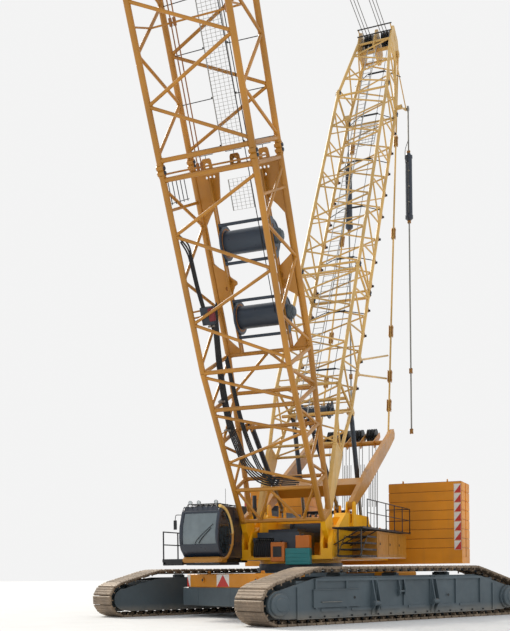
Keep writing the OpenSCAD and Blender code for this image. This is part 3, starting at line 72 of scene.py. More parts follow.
def axes(at, x, y, z):
    """A frame at a point with these three axes."""
    m = Matrix((x, y, z)).transposed().to_4x4()
    m.translation = at
    return m


# ---- camera, fitted to the photograph. Its principal point lies near the bottom of the picture
IMG_W, IMG_H = 510, 631
FOCAL_PX = 938.6
CENTRE_X, CENTRE_Y = 255.5, 575.3
CAM_POS = Vector((35.094, 12.678, 1.75))
CAM_YAW, CAM_PITCH, CAM_ROLL = (math.radians(a) for a in (202.63, -0.218, -0.662))
SENSOR_W = 36.0
CLIP_END = 400


def add_camera():
    cam = bpy.data.cameras.new("camera")
    ob = show("camera", cam)
    flat = math.cos(CAM_PITCH)
    ahead = Vector((math.cos(CAM_YAW) * flat, math.sin(CAM_YAW) * flat, math.sin(CAM_PITCH)))
    level = Vector((math.sin(CAM_YAW), -math.cos(CAM_YAW), 0))
    upright = level.cross(ahead)
    right = level * math.cos(CAM_ROLL) + upright * math.sin(CAM_ROLL)
    up = upright * math.cos(CAM_ROLL) - level * math.sin(CAM_ROLL)
    ob.matrix_world = axes(CAM_POS, right, up, -ahead)
    cam.sensor_fit = "HORIZONTAL"
    cam.sensor_width = SENSOR_W
    cam.lens = SENSOR_W * FOCAL_PX / IMG_W
    cam.shift_x = (IMG_W / 2 - CENTRE_X) / IMG_W
    cam.shift_y = (CENTRE_Y - IMG_H / 2) / IMG_W
    cam.clip_end = CLIP_END
    bpy.context.scene.camera = ob


add_camera()


# ---- materials
class Mat:
    """A procedural material with short calls for its nodes."""

    def __init__(self, name, rough, metallic=0.0):
        self.m = bpy.data.materials.new(name)
        self.m.use_nodes = True
        self.t = self.m.node_tree
        self.b = self.t.nodes["Principled BSDF"]
        self.put(self.b, {"Roughness": rough, "Metallic": metallic})
        self.pos = self.new("ShaderNodeTexCoord").outputs["Object"]

    def put(self, node, values):
        """Sets inputs of a node, each to a value or to the output of another node."""
        for key, v in values.items():
            socket = node.inputs[key]
            if isinstance(v, bpy.types.NodeSocket):
                self.t.links.new(v, socket)
            else:
                socket.default_value = (*v, 1) if socket.type == "RGBA" else v

    def new(self, kind, values=None, **settings):
        n = self.t.nodes.new(kind)
        for k, v in settings.items():
            setattr(n, k, v)
        self.put(n, values or {})
        return n

    def noise(self, scale, detail, rough=0.55, stretch=None):
        at = self.pos
        if stretch:
            at = self.new("ShaderNodeMapping", {"Scale": stretch, "Vector": at}).outputs["Vector"]
        values = {"Vector": at, "Scale": scale, "Detail": detail, "Roughness": rough}
        return self.new("ShaderNodeTexNoise", values).outputs["Fac"]

    def ramp(self, fac, lo, hi, a=0.0, b=1.0):
        """Takes lo to hi linearly to a to b, and what lies outside to the nearer end."""
        values = {"Value": fac, "From Min": lo, "From Max": hi, "To Min": a, "To Max": b}
        return self.new("ShaderNodeMapRange", values).outputs["Result"]

    def math(self, op, a, b):
        return self.new("ShaderNodeMath", {0: a, 1: b}, operation=op).outputs[0]

    def times(self, a, b):
        return self.math("MULTIPLY", a, b)

    def mix(self, fac, a, b):
        return self.new("ShaderNodeMix", {"Factor": fac, 6: a, 7: b}, data_type="RGBA").outputs[2]

    def upward(self, vector):
        return self.new("ShaderNodeSeparateXYZ", {0: vector}).outputs["Z"]

    def facing_up(self):
        return self.upward(self.new("ShaderNodeNewGeometry").outputs["Normal"])

    def bump(self, height, strength, dist):
        n = self.new("ShaderNodeBump", {"Strength": strength, "Distance": dist, "Height": height})
        self.put(self.b, {"Normal": n.outputs["Normal"]})

    def colour(self, c):
        self.put(self.b, {"Base Color": c})


def srgb(*rgb):
    return tuple(c / 12.92 if c <= 0.04045 else ((c + 0.055) / 1.055) ** 2.4 for c in (v / 255 for v in rgb))


def shaded(c, k, lift=0.0):
    return tuple(min(1, v * k + lift) for v in c)


DUST = srgb(176, 160, 138)
RUST = srgb(112, 66, 38)


def paint(name, rgb, rough, dust, low=None, rust=0.25, coat=0.0):
    """Paint with a broad change of shade, streaks, chips, and dust on what faces up or lies below low."""
    m, base = Mat(name, rough), srgb(*rgb)
    shade = m.mix(m.ramp(m.noise(0.35, 3), 0.35, 0.65), shaded(base, 1.16), shaded(base, 0.8))
    streaks = m.times(m.ramp(m.noise(2.2, 5, 0.6, stretch=(1, 1, 0.12)), 0.52, 0.75), 0.3)
    chips = m.times(m.ramp(m.noise(14, 8, 0.7), 0.66, 0.7), rust)
    col = m.mix(chips, m.mix(streaks, shade, shaded(base, 0.6, 0.02)), RUST)
    patches = m.ramp(m.noise(1.6, 6, 0.65), 0.3, 0.7)
    amount = m.times(m.times(m.ramp(m.facing_up(), 0.35, 0.95), patches), dust)
    if low:
        near_ground = m.ramp(m.upward(m.pos), low, 0.1, 0.0, 0.75)
        splashes = m.ramp(m.noise(2.5, 6, 0.7), 0.25, 0.75, 0.25)
        amount = m.math("MAXIMUM", amount, m.times(near_ground, splashes))
    m.colour(m.mix(amount, col, DUST))
    m.put(m.b, {"Roughness": m.ramp(m.noise(5, 4), 0.3, 0.7, rough - 0.08, rough + 0.14)})
    m.bump(m.noise(26, 3), 0.12, 0.004)
    if coat:
        m.put(m.b, {"Coat Weight": coat, "Coat Roughness": 0.25})
    return m.m


def plain(name, rgb, rough, metallic=0.0, scale=12, depth=0.12, alpha=1.0):
    """A material with a slight change of shade and of gloss."""
    m, c = Mat(name, rough, metallic), srgb(*rgb)
    m.colour(m.mix(m.ramp(m.noise(scale, 5), 0.3, 0.7), c, shaded(c, 1 - 2.2 * depth)))
    m.put(m.b, {"Roughness": m.ramp(m.noise(scale * 2, 4), 0.3, 0.7, rough - 0.06, rough + 0.1), "Alpha": alpha})
    m.bump(m.noise(scale * 6, 4), 0.15, 0.002)
    return m.m


def shoe_mat():
    """Worn steel with dry mud and rust."""
    m = Mat("shoe_steel", 0.6, 0.35)
    worn = m.mix(m.ramp(m.noise(1.2, 6), 0.3, 0.7), srgb(150, 130, 108), srgb(106, 92, 78))
    muddy = m.mix(m.ramp(m.noise(9, 8, 0.7), 0.55, 0.7), worn, srgb(172, 150, 122))
    rusty = m.mix(m.times(m.ramp(m.noise(22, 6), 0.6, 0.72), 0.6), muddy, srgb(96, 58, 38))
    m.colour(m.mix(m.times(m.ramp(m.facing_up(), 0.5, 1.0), 0.3), rusty, DUST))
    m.bump(m.noise(12, 8, 0.7), 0.5, 0.02)
    return m.m


def steel_mat():
    m, c, scale = Mat("bare_steel", 0.4, 0.9), srgb(150, 148, 142), 20
    m.colour(m.mix(m.ramp(m.noise(scale, 5), 0.35, 0.7), c, shaded(c, 0.62)))
    m.bump(m.noise(scale * 2, 4), 0.15, 0.003)
    return m.m


def rope_mat():
    """Strands as diagonal bands."""
    m = Mat("wire_rope", 0.55, 0.6)
    wave = m.new("ShaderNodeTexWave", {"Scale": 14, "Vector": m.pos}, wave_type="BANDS", bands_direction="DIAGONAL")
    lay = wave.outputs["Fac"]
    m.colour(m.mix(lay, srgb(66, 66, 66), srgb(120, 118, 112)))
    m.bump(lay, 0.4, 0.006)
    return m.m


def glass_mat():
    m = Mat("cab_glass_tint", 0.06)
    m.colour(m.mix(m.ramp(m.noise(3, 5), 0.4, 0.75), srgb(52, 62, 68), srgb(76, 84, 86)))
    m.put(m.b, {"Alpha": 0.42, "IOR": 1.45, "Coat Weight": 0.6, "Coat Roughness": 0.04})
    return m.m


def fabric_mat():
    m = Mat("seat_cloth", 0.9)
    weave = m.new("ShaderNodeTexVoronoi", {"Scale": 260, "Vector": m.pos}).outputs["Distance"]
    m.colour(m.mix(m.ramp(weave, 0.1, 0.6), srgb(34, 35, 38), srgb(58, 60, 64)))
    m.bump(weave, 0.4, 0.002)
    return m.m


# Name, colour, roughness, dust
MAT = {
    "yellow": paint("yellow_paint", (180, 122, 34), 0.38, 0.25, coat=0.15),
    "yellow_weight": paint("yellow_weight_paint", (216, 138, 14), 0.5, 0.15),
    "bright": paint("bright_yellow_paint", (250, 176, 6), 0.4, 0.1),
    "mast_yellow": paint("mast_yellow_paint", (208, 168, 96), 0.42, 0.2),
    "pale": paint("pale_yellow_paint", (232, 196, 120), 0.4, 0.15),
    "grey": paint("frame_grey_paint", (80, 92, 98), 0.5, 0.35, low=0.5),
    "dark": paint("dark_paint", (38, 48, 60), 0.4, 0.3),
    "navy": paint("navy_paint", (32, 42, 56), 0.32, 0.15, coat=0.3),
    "teal": paint("teal_paint", (24, 120, 122), 0.45, 0.2),
    "orange": paint("orange_paint", (190, 104, 20), 0.45, 0.2),
    "bronze": paint("pendant_bronze", (150, 96, 40), 0.5, 0.1),
    "black": paint("black_paint", (24, 26, 29), 0.45, 0.2, rust=0.1),
    "drum": paint("drum_paint", (48, 60, 74), 0.35, 0.1),
    "shoe": shoe_mat(),
    "steel": steel_mat(),
    "rope": rope_mat(),
    "glass": glass_mat(),
    "fabric": fabric_mat(),
    "cable": plain("greased_rope", (44, 44, 46), 0.5, 0.4),
    "lamp": plain("lamp_lens", (214, 220, 220), 0.15),
    # Pale, mostly opaque colour on the windscreen and on the mirror's glass: a painted reflection
    "screen": plain("windscreen_painted_reflection", (134, 146, 150), 0.08, scale=1.5, alpha=0.8),
    "hose": plain("hose_rubber", (26, 27, 29), 0.5),
    "maroon": plain("valve_maroon", (120, 30, 36), 0.5),
    "red": plain("sign_red", (206, 52, 40), 0.45),
    "white": plain("sign_white", (232, 228, 220), 0.5, depth=0.06),
    "gold": plain("coupler_brass", (170, 122, 60), 0.4, 0.5),
    "grating": plain("walk_grating", (176, 176, 172), 0.6, 0.3),
}

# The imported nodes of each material
NODES_OF = {
    "shoe": "track_left track_right",
    "grey": "track_frames track_wheels carbody carbody_weights",
    "dark": "slew_ring deck_tank engine_house cab_shell cab_door boom_stop_tubes mast_stop_tubes",
    "bright": "upper_frame boom_legs",
    "drum": "deck_winches boom_winches mast_winch",
    "yellow": "walkway_left boom_base boom_insert boom_head rear_frame luff_pendants hook_block",
    "black": "cab_platform boom_sheaves mast_sheaves rear_frame_sheaves",
    "glass": "cab_glass cab_door_glass",
    "fabric": "cab_seat",
    "yellow_weight": "weight_tray weight_slabs",
    "mast_yellow": "mast_legs mast_base mast_guides mast_upper mast_head rear_stay",
    "rope": "luff_falls luff_far_falls rear_falls_upper rear_falls_lower hook_ropes",
    "steel": "boom_stop_rods mast_stop_rods heavy_lift_pendants",
}
for key, names in NODES_OF.items():
    for name in names.split():
        for slot in frame["nodes"][name].material_slots:
            slot.material = MAT[key]

# ---- stage and light
FLOOR_HALF, FLOOR_Z = 160, -0.002
FLOOR_LIGHT, FLOOR_DIM = (0.78, 0.77, 0.75), (0.74, 0.73, 0.71)
SKY, SKY_STRENGTH, BACKDROP = (0.93, 0.96, 1.0), 0.85, (0.9, 0.9, 0.9)
SUN, SUN_ENERGY, SUN_WAY = (1.0, 0.96, 0.88), 2.8, (0.45, 0.75, -0.6)
SUN_SPREAD = math.radians(12)


def add_stage():
    scene = bpy.context.scene
    floor = bpy.data.meshes.new("floor")
    h = FLOOR_HALF
    floor.from_pydata([(x, y, FLOOR_Z) for x, y in ((-h, -h), (h, -h), (h, h), (-h, h))], [], [(0, 1, 2, 3)])
    m = Mat("floor_pale", 0.9)
    m.colour(m.mix(m.ramp(m.noise(0.6, 5), 0.3, 0.7), FLOOR_LIGHT, FLOOR_DIM))
    floor.materials.append(m.m)
    ob = show("floor", floor)
    scene.world = bpy.data.worlds.new("studio")
    scene.world.use_nodes = True
    nodes, link = scene.world.node_tree.nodes, scene.world.node_tree.links.new
    light, backdrop = nodes["Background"], nodes.new("ShaderNodeBackground")
    light.inputs["Strength"].default_value = SKY_STRENGTH
    light.inputs["Color"].default_value = (*SKY, 1)
    backdrop.inputs["Color"].default_value = (*BACKDROP, 1)
    mixed = nodes.new("ShaderNodeMixShader")
    link(nodes.new("ShaderNodeLightPath").outputs["Is Camera Ray"], mixed.inputs["Fac"])
    link(light.outputs[0], mixed.inputs[1])
    link(backdrop.outputs[0], mixed.inputs[2])
    link(mixed.outputs[0], nodes["World Output"].inputs["Surface"])
    sun = bpy.data.lights.new("sun", "SUN")
    sun.energy, sun.angle, sun.color = SUN_ENERGY, SUN_SPREAD, SUN
    show("sun", sun).rotation_euler = Vector(SUN_WAY).to_track_quat("-Z", "Y").to_euler()
    scene.view_settings.view_transform = "Standard"


add_stage()


# ---- shapes
def frame_at(x, z, deg):
    """A frame at [x, z] in the middle plane whose X runs along a line that rises by deg."""
    return Matrix.Translation((x, 0, z)) @ Matrix.Rotation(-math.radians(deg), 4, "Y")


BOOM = frame_at(1.23, 2.96, 64)
MAST = frame_at(0.8, 3.95, 118.2)
CRAWLER = Matrix.Rotation(math.radians(-31), 4, "Z")
FLIP = Matrix.Scale(-1, 4, (0, 1, 0))
# Frames that stand a profile in X and Y up in X and Z, or in Y and Z
UPRIGHT = Matrix(((1, 0, 0, 0), (0, 0, 1, 0), (0, 1, 0, 0), (0, 0, 0, 1)))
SIDEWAYS = Matrix(((0, 0, 1, 0), (1, 0, 0, 0), (0, 1, 0, 0), (0, 0, 0, 1)))
SHARP = math.radians(33)
BOTH_ENDS, BOTH_WAYS = (0, 1), (-1, 1)
LEFT, FORWARD, UP, DOWN = (0, 1, 0), (1, 0, 0), (0, 0, 1), (0, 0, -1)
TINY = 1e-6
# A bend starts no further back than this share of a run, and has a point at each of these steps
BEND_REACH, BEND_STEPS = 0.48, (0, 0.25, 0.5, 0.75, 1)


def spokes(axis, n):
    """n unit vectors about a unit axis."""
    u = axis.orthogonal().normalized()
    t = axis.cross(u)
    return [u * math.cos(a) + t * math.sin(a) for a in (2 * math.pi * i / n for i in range(n))]


def circle(x, y, r, n=16):
    return [(x + r * math.cos(2 * math.pi * i / n), y + r * math.sin(2 * math.pi * i / n)) for i in range(n)]


def moved(points, x, y):
    return [(a + x, b + y) for a, b in points]


def spread(x, *rows):
    """An outline that is the same on both sides of x, from rows of (half width, height)."""
    return [(x - w, z) for w, z in rows] + [(x + w, z) for w, z in rows[::-1]]


def inset(points, c):
    """Moves each corner of an outline inwards by about c. The outline runs anticlockwise."""
    out = []
    n = len(points)
    for i in range(n):
        a, b, d = (Vector(points[j % n]) for j in (i - 1, i, i + 1))
        e, g = (b - a).normalized(), (d - b).normalized()
        m = Vector((-e.y, e.x)) + Vector((-g.y, g.x))
        if m.length < TINY:
            m = Vector((-e.y, e.x)) * 2
        out.append(tuple(b + m * (c / max(m.length_squared / 2, 0.5))))
    return out


class Shape:
    """Gathers simple solids into one mesh, each drawn in the frame and with the material that are set."""

    def __init__(self, mat, frame=None):
        self.v, self.f, self.k, self.keys = [], [], [], []
        self.m = frame or Matrix()
        self.use(mat)

    def use(self, key):
        """Draws with this material from here on."""
        if key not in self.keys:
            self.keys.append(key)
        self.key = self.keys.index(key)
        return self

    @contextmanager
    def inside(self, frame):
        """Draws in a frame that lies in the one that is set."""
        m = self.m
        self.m = m @ frame
        yield
        self.m = m

    def both(self, draw):
        """Draws on the left and, mirrored, on the right."""
        draw()
        with self.inside(FLIP):
            draw()

    def add(self, verts, faces):
        n, way = len(self.v), -1 if self.m.determinant() < 0 else 1
        self.v += [tuple(self.m @ Vector(p)) for p in verts]
        self.f += [tuple(n + i for i in f)[::way] for f in faces]
        self.k += [self.key] * len(faces)

    def box(self, lo, hi, c=0.0):
        """A box with edges chamfered by c."""
        sides = [sorted(e) for e in zip(lo, hi)]
        c = min(c, *((b - a) * 0.45 for a, b in sides))
        if c <= 0:
            self.add(list(product(*sides)),
                     [(0, 1, 3, 2), (4, 6, 7, 5), (0, 4, 5, 1), (2, 3, 7, 6), (0, 2, 6, 4), (1, 5, 7, 3)])
            return
        # Each corner has three points, one on the face across each axis
        v, at = [], {}
        for corner in product(BOTH_ENDS, repeat=3):
            for a in range(3):
                at[corner, a] = len(v)
                v.append([r[e] + (c - 2 * c * e) * (b != a) for b, (r, e) in enumerate(zip(sides, corner))])

        def point(a, e, u, w, across):
            corner = [0, 0, 0]
            corner[a], corner[(a + 1) % 3], corner[(a + 2) % 3] = e, u, w
            return at[tuple(corner), across % 3]

        f = []
        for a in range(3):
            for e in BOTH_ENDS:
                q = [point(a, e, u, w, a) for u, w in ((0, 0), (1, 0), (1, 1), (0, 1))]
                f.append(q if e else q[::-1])
            for u, w in product(BOTH_ENDS, repeat=2):
                q = [point(a, e, u, w, a + b) for e, b in ((0, 1), (1, 1), (1, 2), (0, 2))]
                f.append(q if u == w else q[::-1])
        for corner in product(BOTH_ENDS, repeat=3):
            q = [at[corner, a] for a in range(3)]
            f.append(q if sum(corner) % 2 else q[::-1])
        self.add(v, f)

    def lathe(self, at, axis, profile, n):
        """Turns a profile of [radius, distance along the axis] about the axis at a point."""
        at, w = Vector(at), Vector(axis).normalized()
        around = spokes(w, n)
        v, f, rows = [], [], []
        closed = profile[0] == profile[-1]
        for r, h in (profile[:-1] if closed else profile):
            new = [at + w * h + u * r for u in around] if r > TINY else [at + w * h]
            rows.append(range(len(v), len(v) + len(new)))
            v += new
        for a, b in zip(rows, rows[1:] + (rows[:1] if closed else [])):
            for i in range(n):
                j = (i + 1) % n
                q = [a[i % len(a)], a[j % len(a)], b[j % len(b)], b[i % len(b)]]
                q = [p for m, p in enumerate(q) if p not in q[:m]]
                if len(q) > 2:
                    f.append(q)
        self.add(v, f)

    def tube(self, a, b, r, n, c=0.0):
        """A round bar from a to b, its rims chamfered by c."""
        a, b = Vector(a), Vector(b)
        l = (b - a).length
        c = min(c, r * 0.5, l * 0.4)
        rims = [(r - c, 0), (r, c), (r, l - c), (r - c, l)] if c > 0 else [(r, 0), (r, l)]
        self.lathe(a, b - a, [(0, 0), *rims, (0, l)], n)

    def across(self, x, z, y0, y1, r, n, c=0.0):
        """A round bar from y0 to y1."""
        self.tube((x, y0, z), (x, y1, z), r, n, c)

    def pipe(self, points, r, n, bend):
        """A tube along points, its corners rounded by bend."""
        p = [Vector(q) for q in points]
        path = [p[0]]
        for a, b, c in zip(p, p[1:], p[2:]):
            u, w = a - b, c - b
            k = min(bend, u.length * BEND_REACH, w.length * BEND_REACH)
            s, e = b + u.normalized() * k, b + w.normalized() * k
            path += [s.lerp(b, t).lerp(b.lerp(e, t), t) for t in BEND_STEPS]
        path.append(p[-1])
        u = (path[1] - path[0]).normalized().orthogonal().normalized()
        v, f = [], []
        for i, q in enumerate(path):
            d = (path[min(i + 1, len(path) - 1)] - path[max(i - 1, 0)]).normalized()
            u = (u - d * u.dot(d)).normalized()
            t = d.cross(u)
            v += [q + (u * math.cos(g) + t * math.sin(g)) * r for g in (2 * math.pi * j / n for j in range(n))]
            if i:
                o = (i - 1) * n
                f += [(o + j, o + (j + 1) % n, o + n + (j + 1) % n, o + n + j) for j in range(n)]
        self.add(v, f + [tuple(range(n))[::-1], tuple(range(len(v) - n, len(v)))])

    def plate(self, points, y0, y1, c=0.0):
        """A profile in X and Z, thick from y0 to y1. Its corners are cut by c on both faces."""
        if sum(a[0] * b[1] - b[0] * a[1] for a, b in zip(points, points[1:] + points[:1])) < 0:
            points = points[::-1]
        n = len(points)
        rows = [(points, y0), (points, y1)]
        if c:
            small = inset(points, c)
            rows = [(small, y0), (points, y0 + c), (points, y1 - c), (small, y1)]
        v = [(x, y, z) for pts, y in rows for x, z in pts]
        f = [range(n), range(len(v) - n, len(v))[::-1]]
        for r in range(0, len(v) - n, n):
            f += [(r + i, r + n + i, r + n + (i + 1) % n, r + (i + 1) % n) for i in range(n)]
        self.add(v, f)

    def slab(self, points, z0, z1, holes=()):
        """A profile in X and Y with holes, thick from z0 to z1."""
        loops = [[Vector((*p, 0)) for p in loop] for loop in (points, *holes)]
        flat = [p for l in loops for p in l]
        n = len(flat)
        f = []
        for t in tessellate_polygon(loops):
            a, b, c = (flat[i] for i in t)
            t = t if (b - a).cross(c - a).z > 0 else t[::-1]
            f += [tuple(n + i for i in t), t[::-1]]
        o = 0
        for k, l in enumerate(loops):
            m = len(l)
            area = sum(a.x * b.y - b.x * a.y for a, b in zip(l, l[1:] + l[:1]))
            for i in range(m):
                q = (o + i, o + (i + 1) % m, n + o + (i + 1) % m, n + o + i)
                f.append(q if (area > 0) == (k == 0) else q[::-1])
            o += m
        self.add([(p.x, p.y, z) for z in (z0, z1) for p in flat], f)

    def wall(self, points, y0, y1, holes=()):
        """A profile in X and Z with holes, thick from y0 to y1."""
        with self.inside(UPRIGHT):
            self.slab(points, y0, y1, holes)

    def rib(self, points, x0, x1, holes=()):
        """A profile in Y and Z with holes, thick from x0 to x1."""
        with self.inside(SIDEWAYS):
            self.slab(points, x0, x1, holes)

    def disc(self, at, axis, r, h, n):
        """A round cap that stands h above a face."""
        self.lathe(at, axis, [(r, 0), (r, h), (0, h)], n)

    def bolts(self, at, axis, ring, n, r, h):
        """Hexagon heads on washers, n of them on a ring. Without a ring there is one, at the point."""
        at, w = Vector(at), Vector(axis).normalized()
        for u in spokes(w, n):
            self.lathe(at + u * ring, w,
                       [(r * 1.5, 0), (r * 1.5, h * 0.25), (r * 1.05, h * 0.25), (r * 1.05, h), (0, h)], 6)

    def bolt(self, at, axis, r, h):
        self.bolts(at, axis, 0, 1, r, h)

    def make(self, name, body, *replaces):
        """Makes the piece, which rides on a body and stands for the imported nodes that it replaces."""
        me = bpy.data.meshes.new(name)
        me.from_pydata(self.v, [], self.f)
        for key in self.keys:
            me.materials.append(MAT[key])
        me.polygons.foreach_set("material_index", self.k)
        me.polygons.foreach_set("use_smooth", [True] * len(self.f))
        me.set_sharp_from_angle(angle=SHARP)
        me.validate()
        ob = show(name, me)
        if replaces:
            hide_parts(*replaces)
        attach(ob, body)


# ---- lattices. A station is (s, half width, half depth)
def corner(st, sy, sz):
    """The point of a chord at a station, on the side sy and the face sz."""
    return Vector((st[0], sy * st[1], sz * st[2]))


def blend(a, b, t):
    return tuple(p * (1 - t) + q * t for p, q in zip(a, b))


CORNERS = tuple(product(BOTH_WAYS, repeat=2))
WELD_EVERY = 3


class Lattice(Shape):
    """A section of a lattice. It has the radii of its chords, rings and laces, the distance of its end rings from
    the joint with their radius, and the length and width of its lugs."""

    def __init__(self, mat, frame, chord, ring, lace, end, lug):
        super().__init__(mat, frame)
        self.chord_r, self.ring_r, self.lace_r, self.end, self.lug = chord, ring, lace, end, lug

    def chords(self, *stations):
        """Chords, with thin weld rings where lengths of tube meet."""
        r = self.chord_r
        for a, b in zip(stations, stations[1:]):
            for sy, sz in CORNERS:
                p, q = corner(a, sy, sz), corner(b, sy, sz)
                self.tube(p, q, r, 16)
                l = (q - p).length
                for t in range(1, int(l / WELD_EVERY) + 1):
                    self.lathe(p.lerp(q, t * WELD_EVERY / l), q - p, [(r, -0.012), (r * 1.035, 0), (r, 0.012)], 16)

    def brace(self, p, e, r=None, outside=None):
        """A tube from p to e with weld collars just outside the tubes that it joins."""
        r, outside = r or self.lace_r, outside or self.chord_r
        self.tube(p, e, r, 12)
        d = (e - p).normalized()
        for o, w in ((p, d), (e, -d)):
            self.lathe(o + w * outside * 1.12, w,
                       [(r * 0.98, 0), (r * 1.2, 0.01), (r * 1.17, 0.03), (r * 0.98, 0.06)], 12)

    def bracing(self, nodes, faces=BOTH_WAYS, sides=BOTH_WAYS):
        """Diagonals from node to node, on the front and rear faces and on the sides."""
        for i, (a, b) in enumerate(zip(nodes, nodes[1:])):
            t = 1 if i % 2 == 0 else -1
            for q in faces:
                self.brace(corner(a, -q * t, q), corner(b, q * t, q))
            for q in sides:
                self.brace(corner(a, q, q * t), corner(b, q, -q * t))

    def ring(self, st, r=None, faces=BOTH_WAYS):
        """Cross tubes on the faces given and on both sides."""
        for q in faces:
            self.brace(corner(st, -1, q), corner(st, 1, q), r or self.ring_r)
        for q in BOTH_WAYS:
            self.brace(corner(st, q, -1), corner(st, q, 1), r or self.ring_r)

    def lugs(self, st, sign):
        """Lugs at each chord where two sections meet, with a pin, its heads and its keeper."""
        x, mat = st[0], self.keys[self.key]
        end, h = x + sign * self.lug[0], self.lug[1] / 2
        for sy, sz in CORNERS:
            _, y, z = corner(st, sy, sz)
            self.box((x, y - h, z - h), (end, y + h, z + h), 0.035)
            self.lathe((end, y, z), (sign, 0, 0),
                       [(h * 0.98, -0.01), (h * 0.9, 0.05), (h * 0.8, 0.07), (h * 0.78, 0.0)], 20)
            self.use("dark")
            for k in BOTH_WAYS:
                self.lathe((x + sign * 0.07, y + k * h, z), (0, k, 0),
                           [(0.06, -0.01), (0.06, 0.02), (0.045, 0.03), (0.02, 0.03), (0, 0.036)], 18)
            self.box((x + sign * 0.02, y + h + 0.001, z - 0.1), (x + sign * 0.12, y + h + 0.012, z - 0.05), 0.004)
            self.use(mat)

    def joint(self, station, q, sign):
        """The end of a section at q: a ring, and the lugs that meet the next section's."""
        self.ring(station(q + sign * self.end[0]), self.end[1])
        self.lugs(station(q), sign)

    def ears(self, at, d, y, low):
        """Two ears and their pin for the tube of a backstop."""
        for k in BOTH_WAYS:
            y0 = y + k * 0.101 - 0.02
            self.plate(spread(at, (0.17, low), (0.09, d + 0.09)), y0, y0 + 0.04, 0.005)
            self.bolt((at, y + k * 0.121, d), (0, k, 0), 0.03, 0.015)
        self.across(at, d, y - 0.082, y + 0.082, 0.05, 20)


# ---- boom. Its sizes, and the mast's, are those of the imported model, in metres
HW, HD = 1.61, 1.225
BASE_END, INSERT_END, HEAD_START, BOOM_LEN = 13.62, 26.08, 34.5, 36.0
KNEE, STOP_S = 7.0, 4.3
# How far the chords and the first diagonal stay from a joint
END_GAP, LACE_IN = 0.06, 0.43
REAR, FRONT, NONE = (1,), (-1,), ()
WINCH_PLATE = [(13.3, 1.61), (13.3, 0.64), (12.4, 0.78), (11.9, 1.25), (11.6, 1.47), (10.3, 1.47), (9.9, 1.1),
               (9.62, 0.76), (9.35, 0.88), (9.0, 1.3), (8.8, 1.47), (7.6, 1.47), (7.3, 1.2), (7.0, 0.9), (6.9, 1.61)]
WAVY_PLATE = [(10.3, 1.5), (9.95, 1.02), (9.7, 0.86), (9.6, 0.7), (9.5, 0.7), (9.42, 0.84), (9.2, 0.94), (8.85, 1.5)]
PLATE_LUG = [(13.34, -0.2), (13.66, -0.17), (13.72, -0.12), (13.72, 0.12), (13.66, 0.17), (13.34, 0.2)]
LUG_HOLE = [(13.42, -0.07), (13.54, -0.07), (13.58, 0), (13.54, 0.07), (13.42, 0.07)]
HEAD_PLATE = [(-1.7, -0.56), (-0.3, -1.05), (0.2, -1.0), (0.42, -0.3), (0.3, 0.9), (-0.15, 1.15), (-1.7, 0.56)]
JIB_PIN = (0.23, 0.3)


def boom_section():
    return Lattice("yellow", BOOM, chord=0.105, ring=0.075, lace=0.055, end=(0.29, 0.075), lug=(0.17, 0.25))


def full(s):
    """A station where the boom has its full width and depth."""
    return (s, HW, HD)


def foot(s):
    """The station of the foot, whose depth tapers."""
    return (s, HW, min(HD, 0.41 + (HD - 0.41) * (s - 1.04) / (KNEE - 1.04)))


def head(s):
    """The station of the head, which narrows both ways."""
    return blend(full(s), (s, 0.7, 0.48), (s - INSERT_END) / (HEAD_START - INSERT_END))


def make_boom():
    s = boom_section()

    def feet():
        s.box((0.9, HW - 0.09, -0.43), (1.1, HW + 0.09, 0.43), 0.015)
        s.ears(STOP_S, 1.15, 1.19, foot(STOP_S)[2])
        holes = (13.12, 0.86), (13.12, 1.0), (13.12, 1.14), (12.9, 1.0)
        s.slab(WINCH_PLATE, 1.195, 1.255, [circle(x, y, 0.045) for x, y in holes])
        s.brace(corner(foot(5.6), 1, 1), Vector((KNEE, 0, HD)))
        # Lugs with a five-sided hole at the end of the plates, each with a bar on a stem
        for y in (0.0, 1.05):
            s.use("yellow").slab(moved(PLATE_LUG, 0, y), 1.2, 1.25, [moved(LUG_HOLE, 0, y)])
            s.use("black").tube((13.7, y, 1.22), (13.82, y, 1.22), 0.012, 8)
            s.across(13.82, 1.22, y - 0.3, y + 0.3, 0.01, 8)
        # Wavy bracket between the winches
        s.use("yellow").slab(WAVY_PLATE, 1.15, 1.19, [circle(9.62, 0.98, 0.09), circle(9.4, 1.12, 0.07)])
    s.both(feet)
    s.chords(foot(1.04), foot(KNEE), full(BASE_END - END_GAP))
    for q in (2.35, 5.6, KNEE):
        s.ring(foot(q))
    s.ring(foot(STOP_S), faces=REAR)
    s.ring(foot(1.0), faces=FRONT)
    s.bracing([foot(q) for q in (2.5, 3.48, 4.5, 5.4)], FRONT, NONE)
    s.bracing([foot(q) for q in (2.45, 3.3, 4.2, 5.45)], NONE)
    s.bracing([foot(q) for q in (5.75, 6.85)], FRONT)
    for a, b in ((-1.5, -0.85), (-0.2, -0.85), (-0.2, 0.75), (1.55, 0.85)):
        s.brace(Vector((2.35, a, -foot(2.35)[2])), Vector((1.0, b, -foot(1.0)[2])), outside=s.ring_r)
    s.bracing([full(7.25 + i * 1.45) for i in range(5)], FRONT)
    s.ring(full(12.4), 0.05, NONE)
    s.joint(full, BASE_END, -1)
    s.make("boom_base_welded", "boom", "boom_base")

    s = boom_section()
    step = (INSERT_END - BASE_END - 2 * LACE_IN) / 8
    s.chords(full(BASE_END + END_GAP), full(INSERT_END - END_GAP))
    s.bracing([full(BASE_END + LACE_IN + i * step) for i in range(9)])
    s.joint(full, BASE_END, 1)
    s.joint(full, INSERT_END, -1)
    s.make("boom_insert_welded", "boom", "boom_insert")


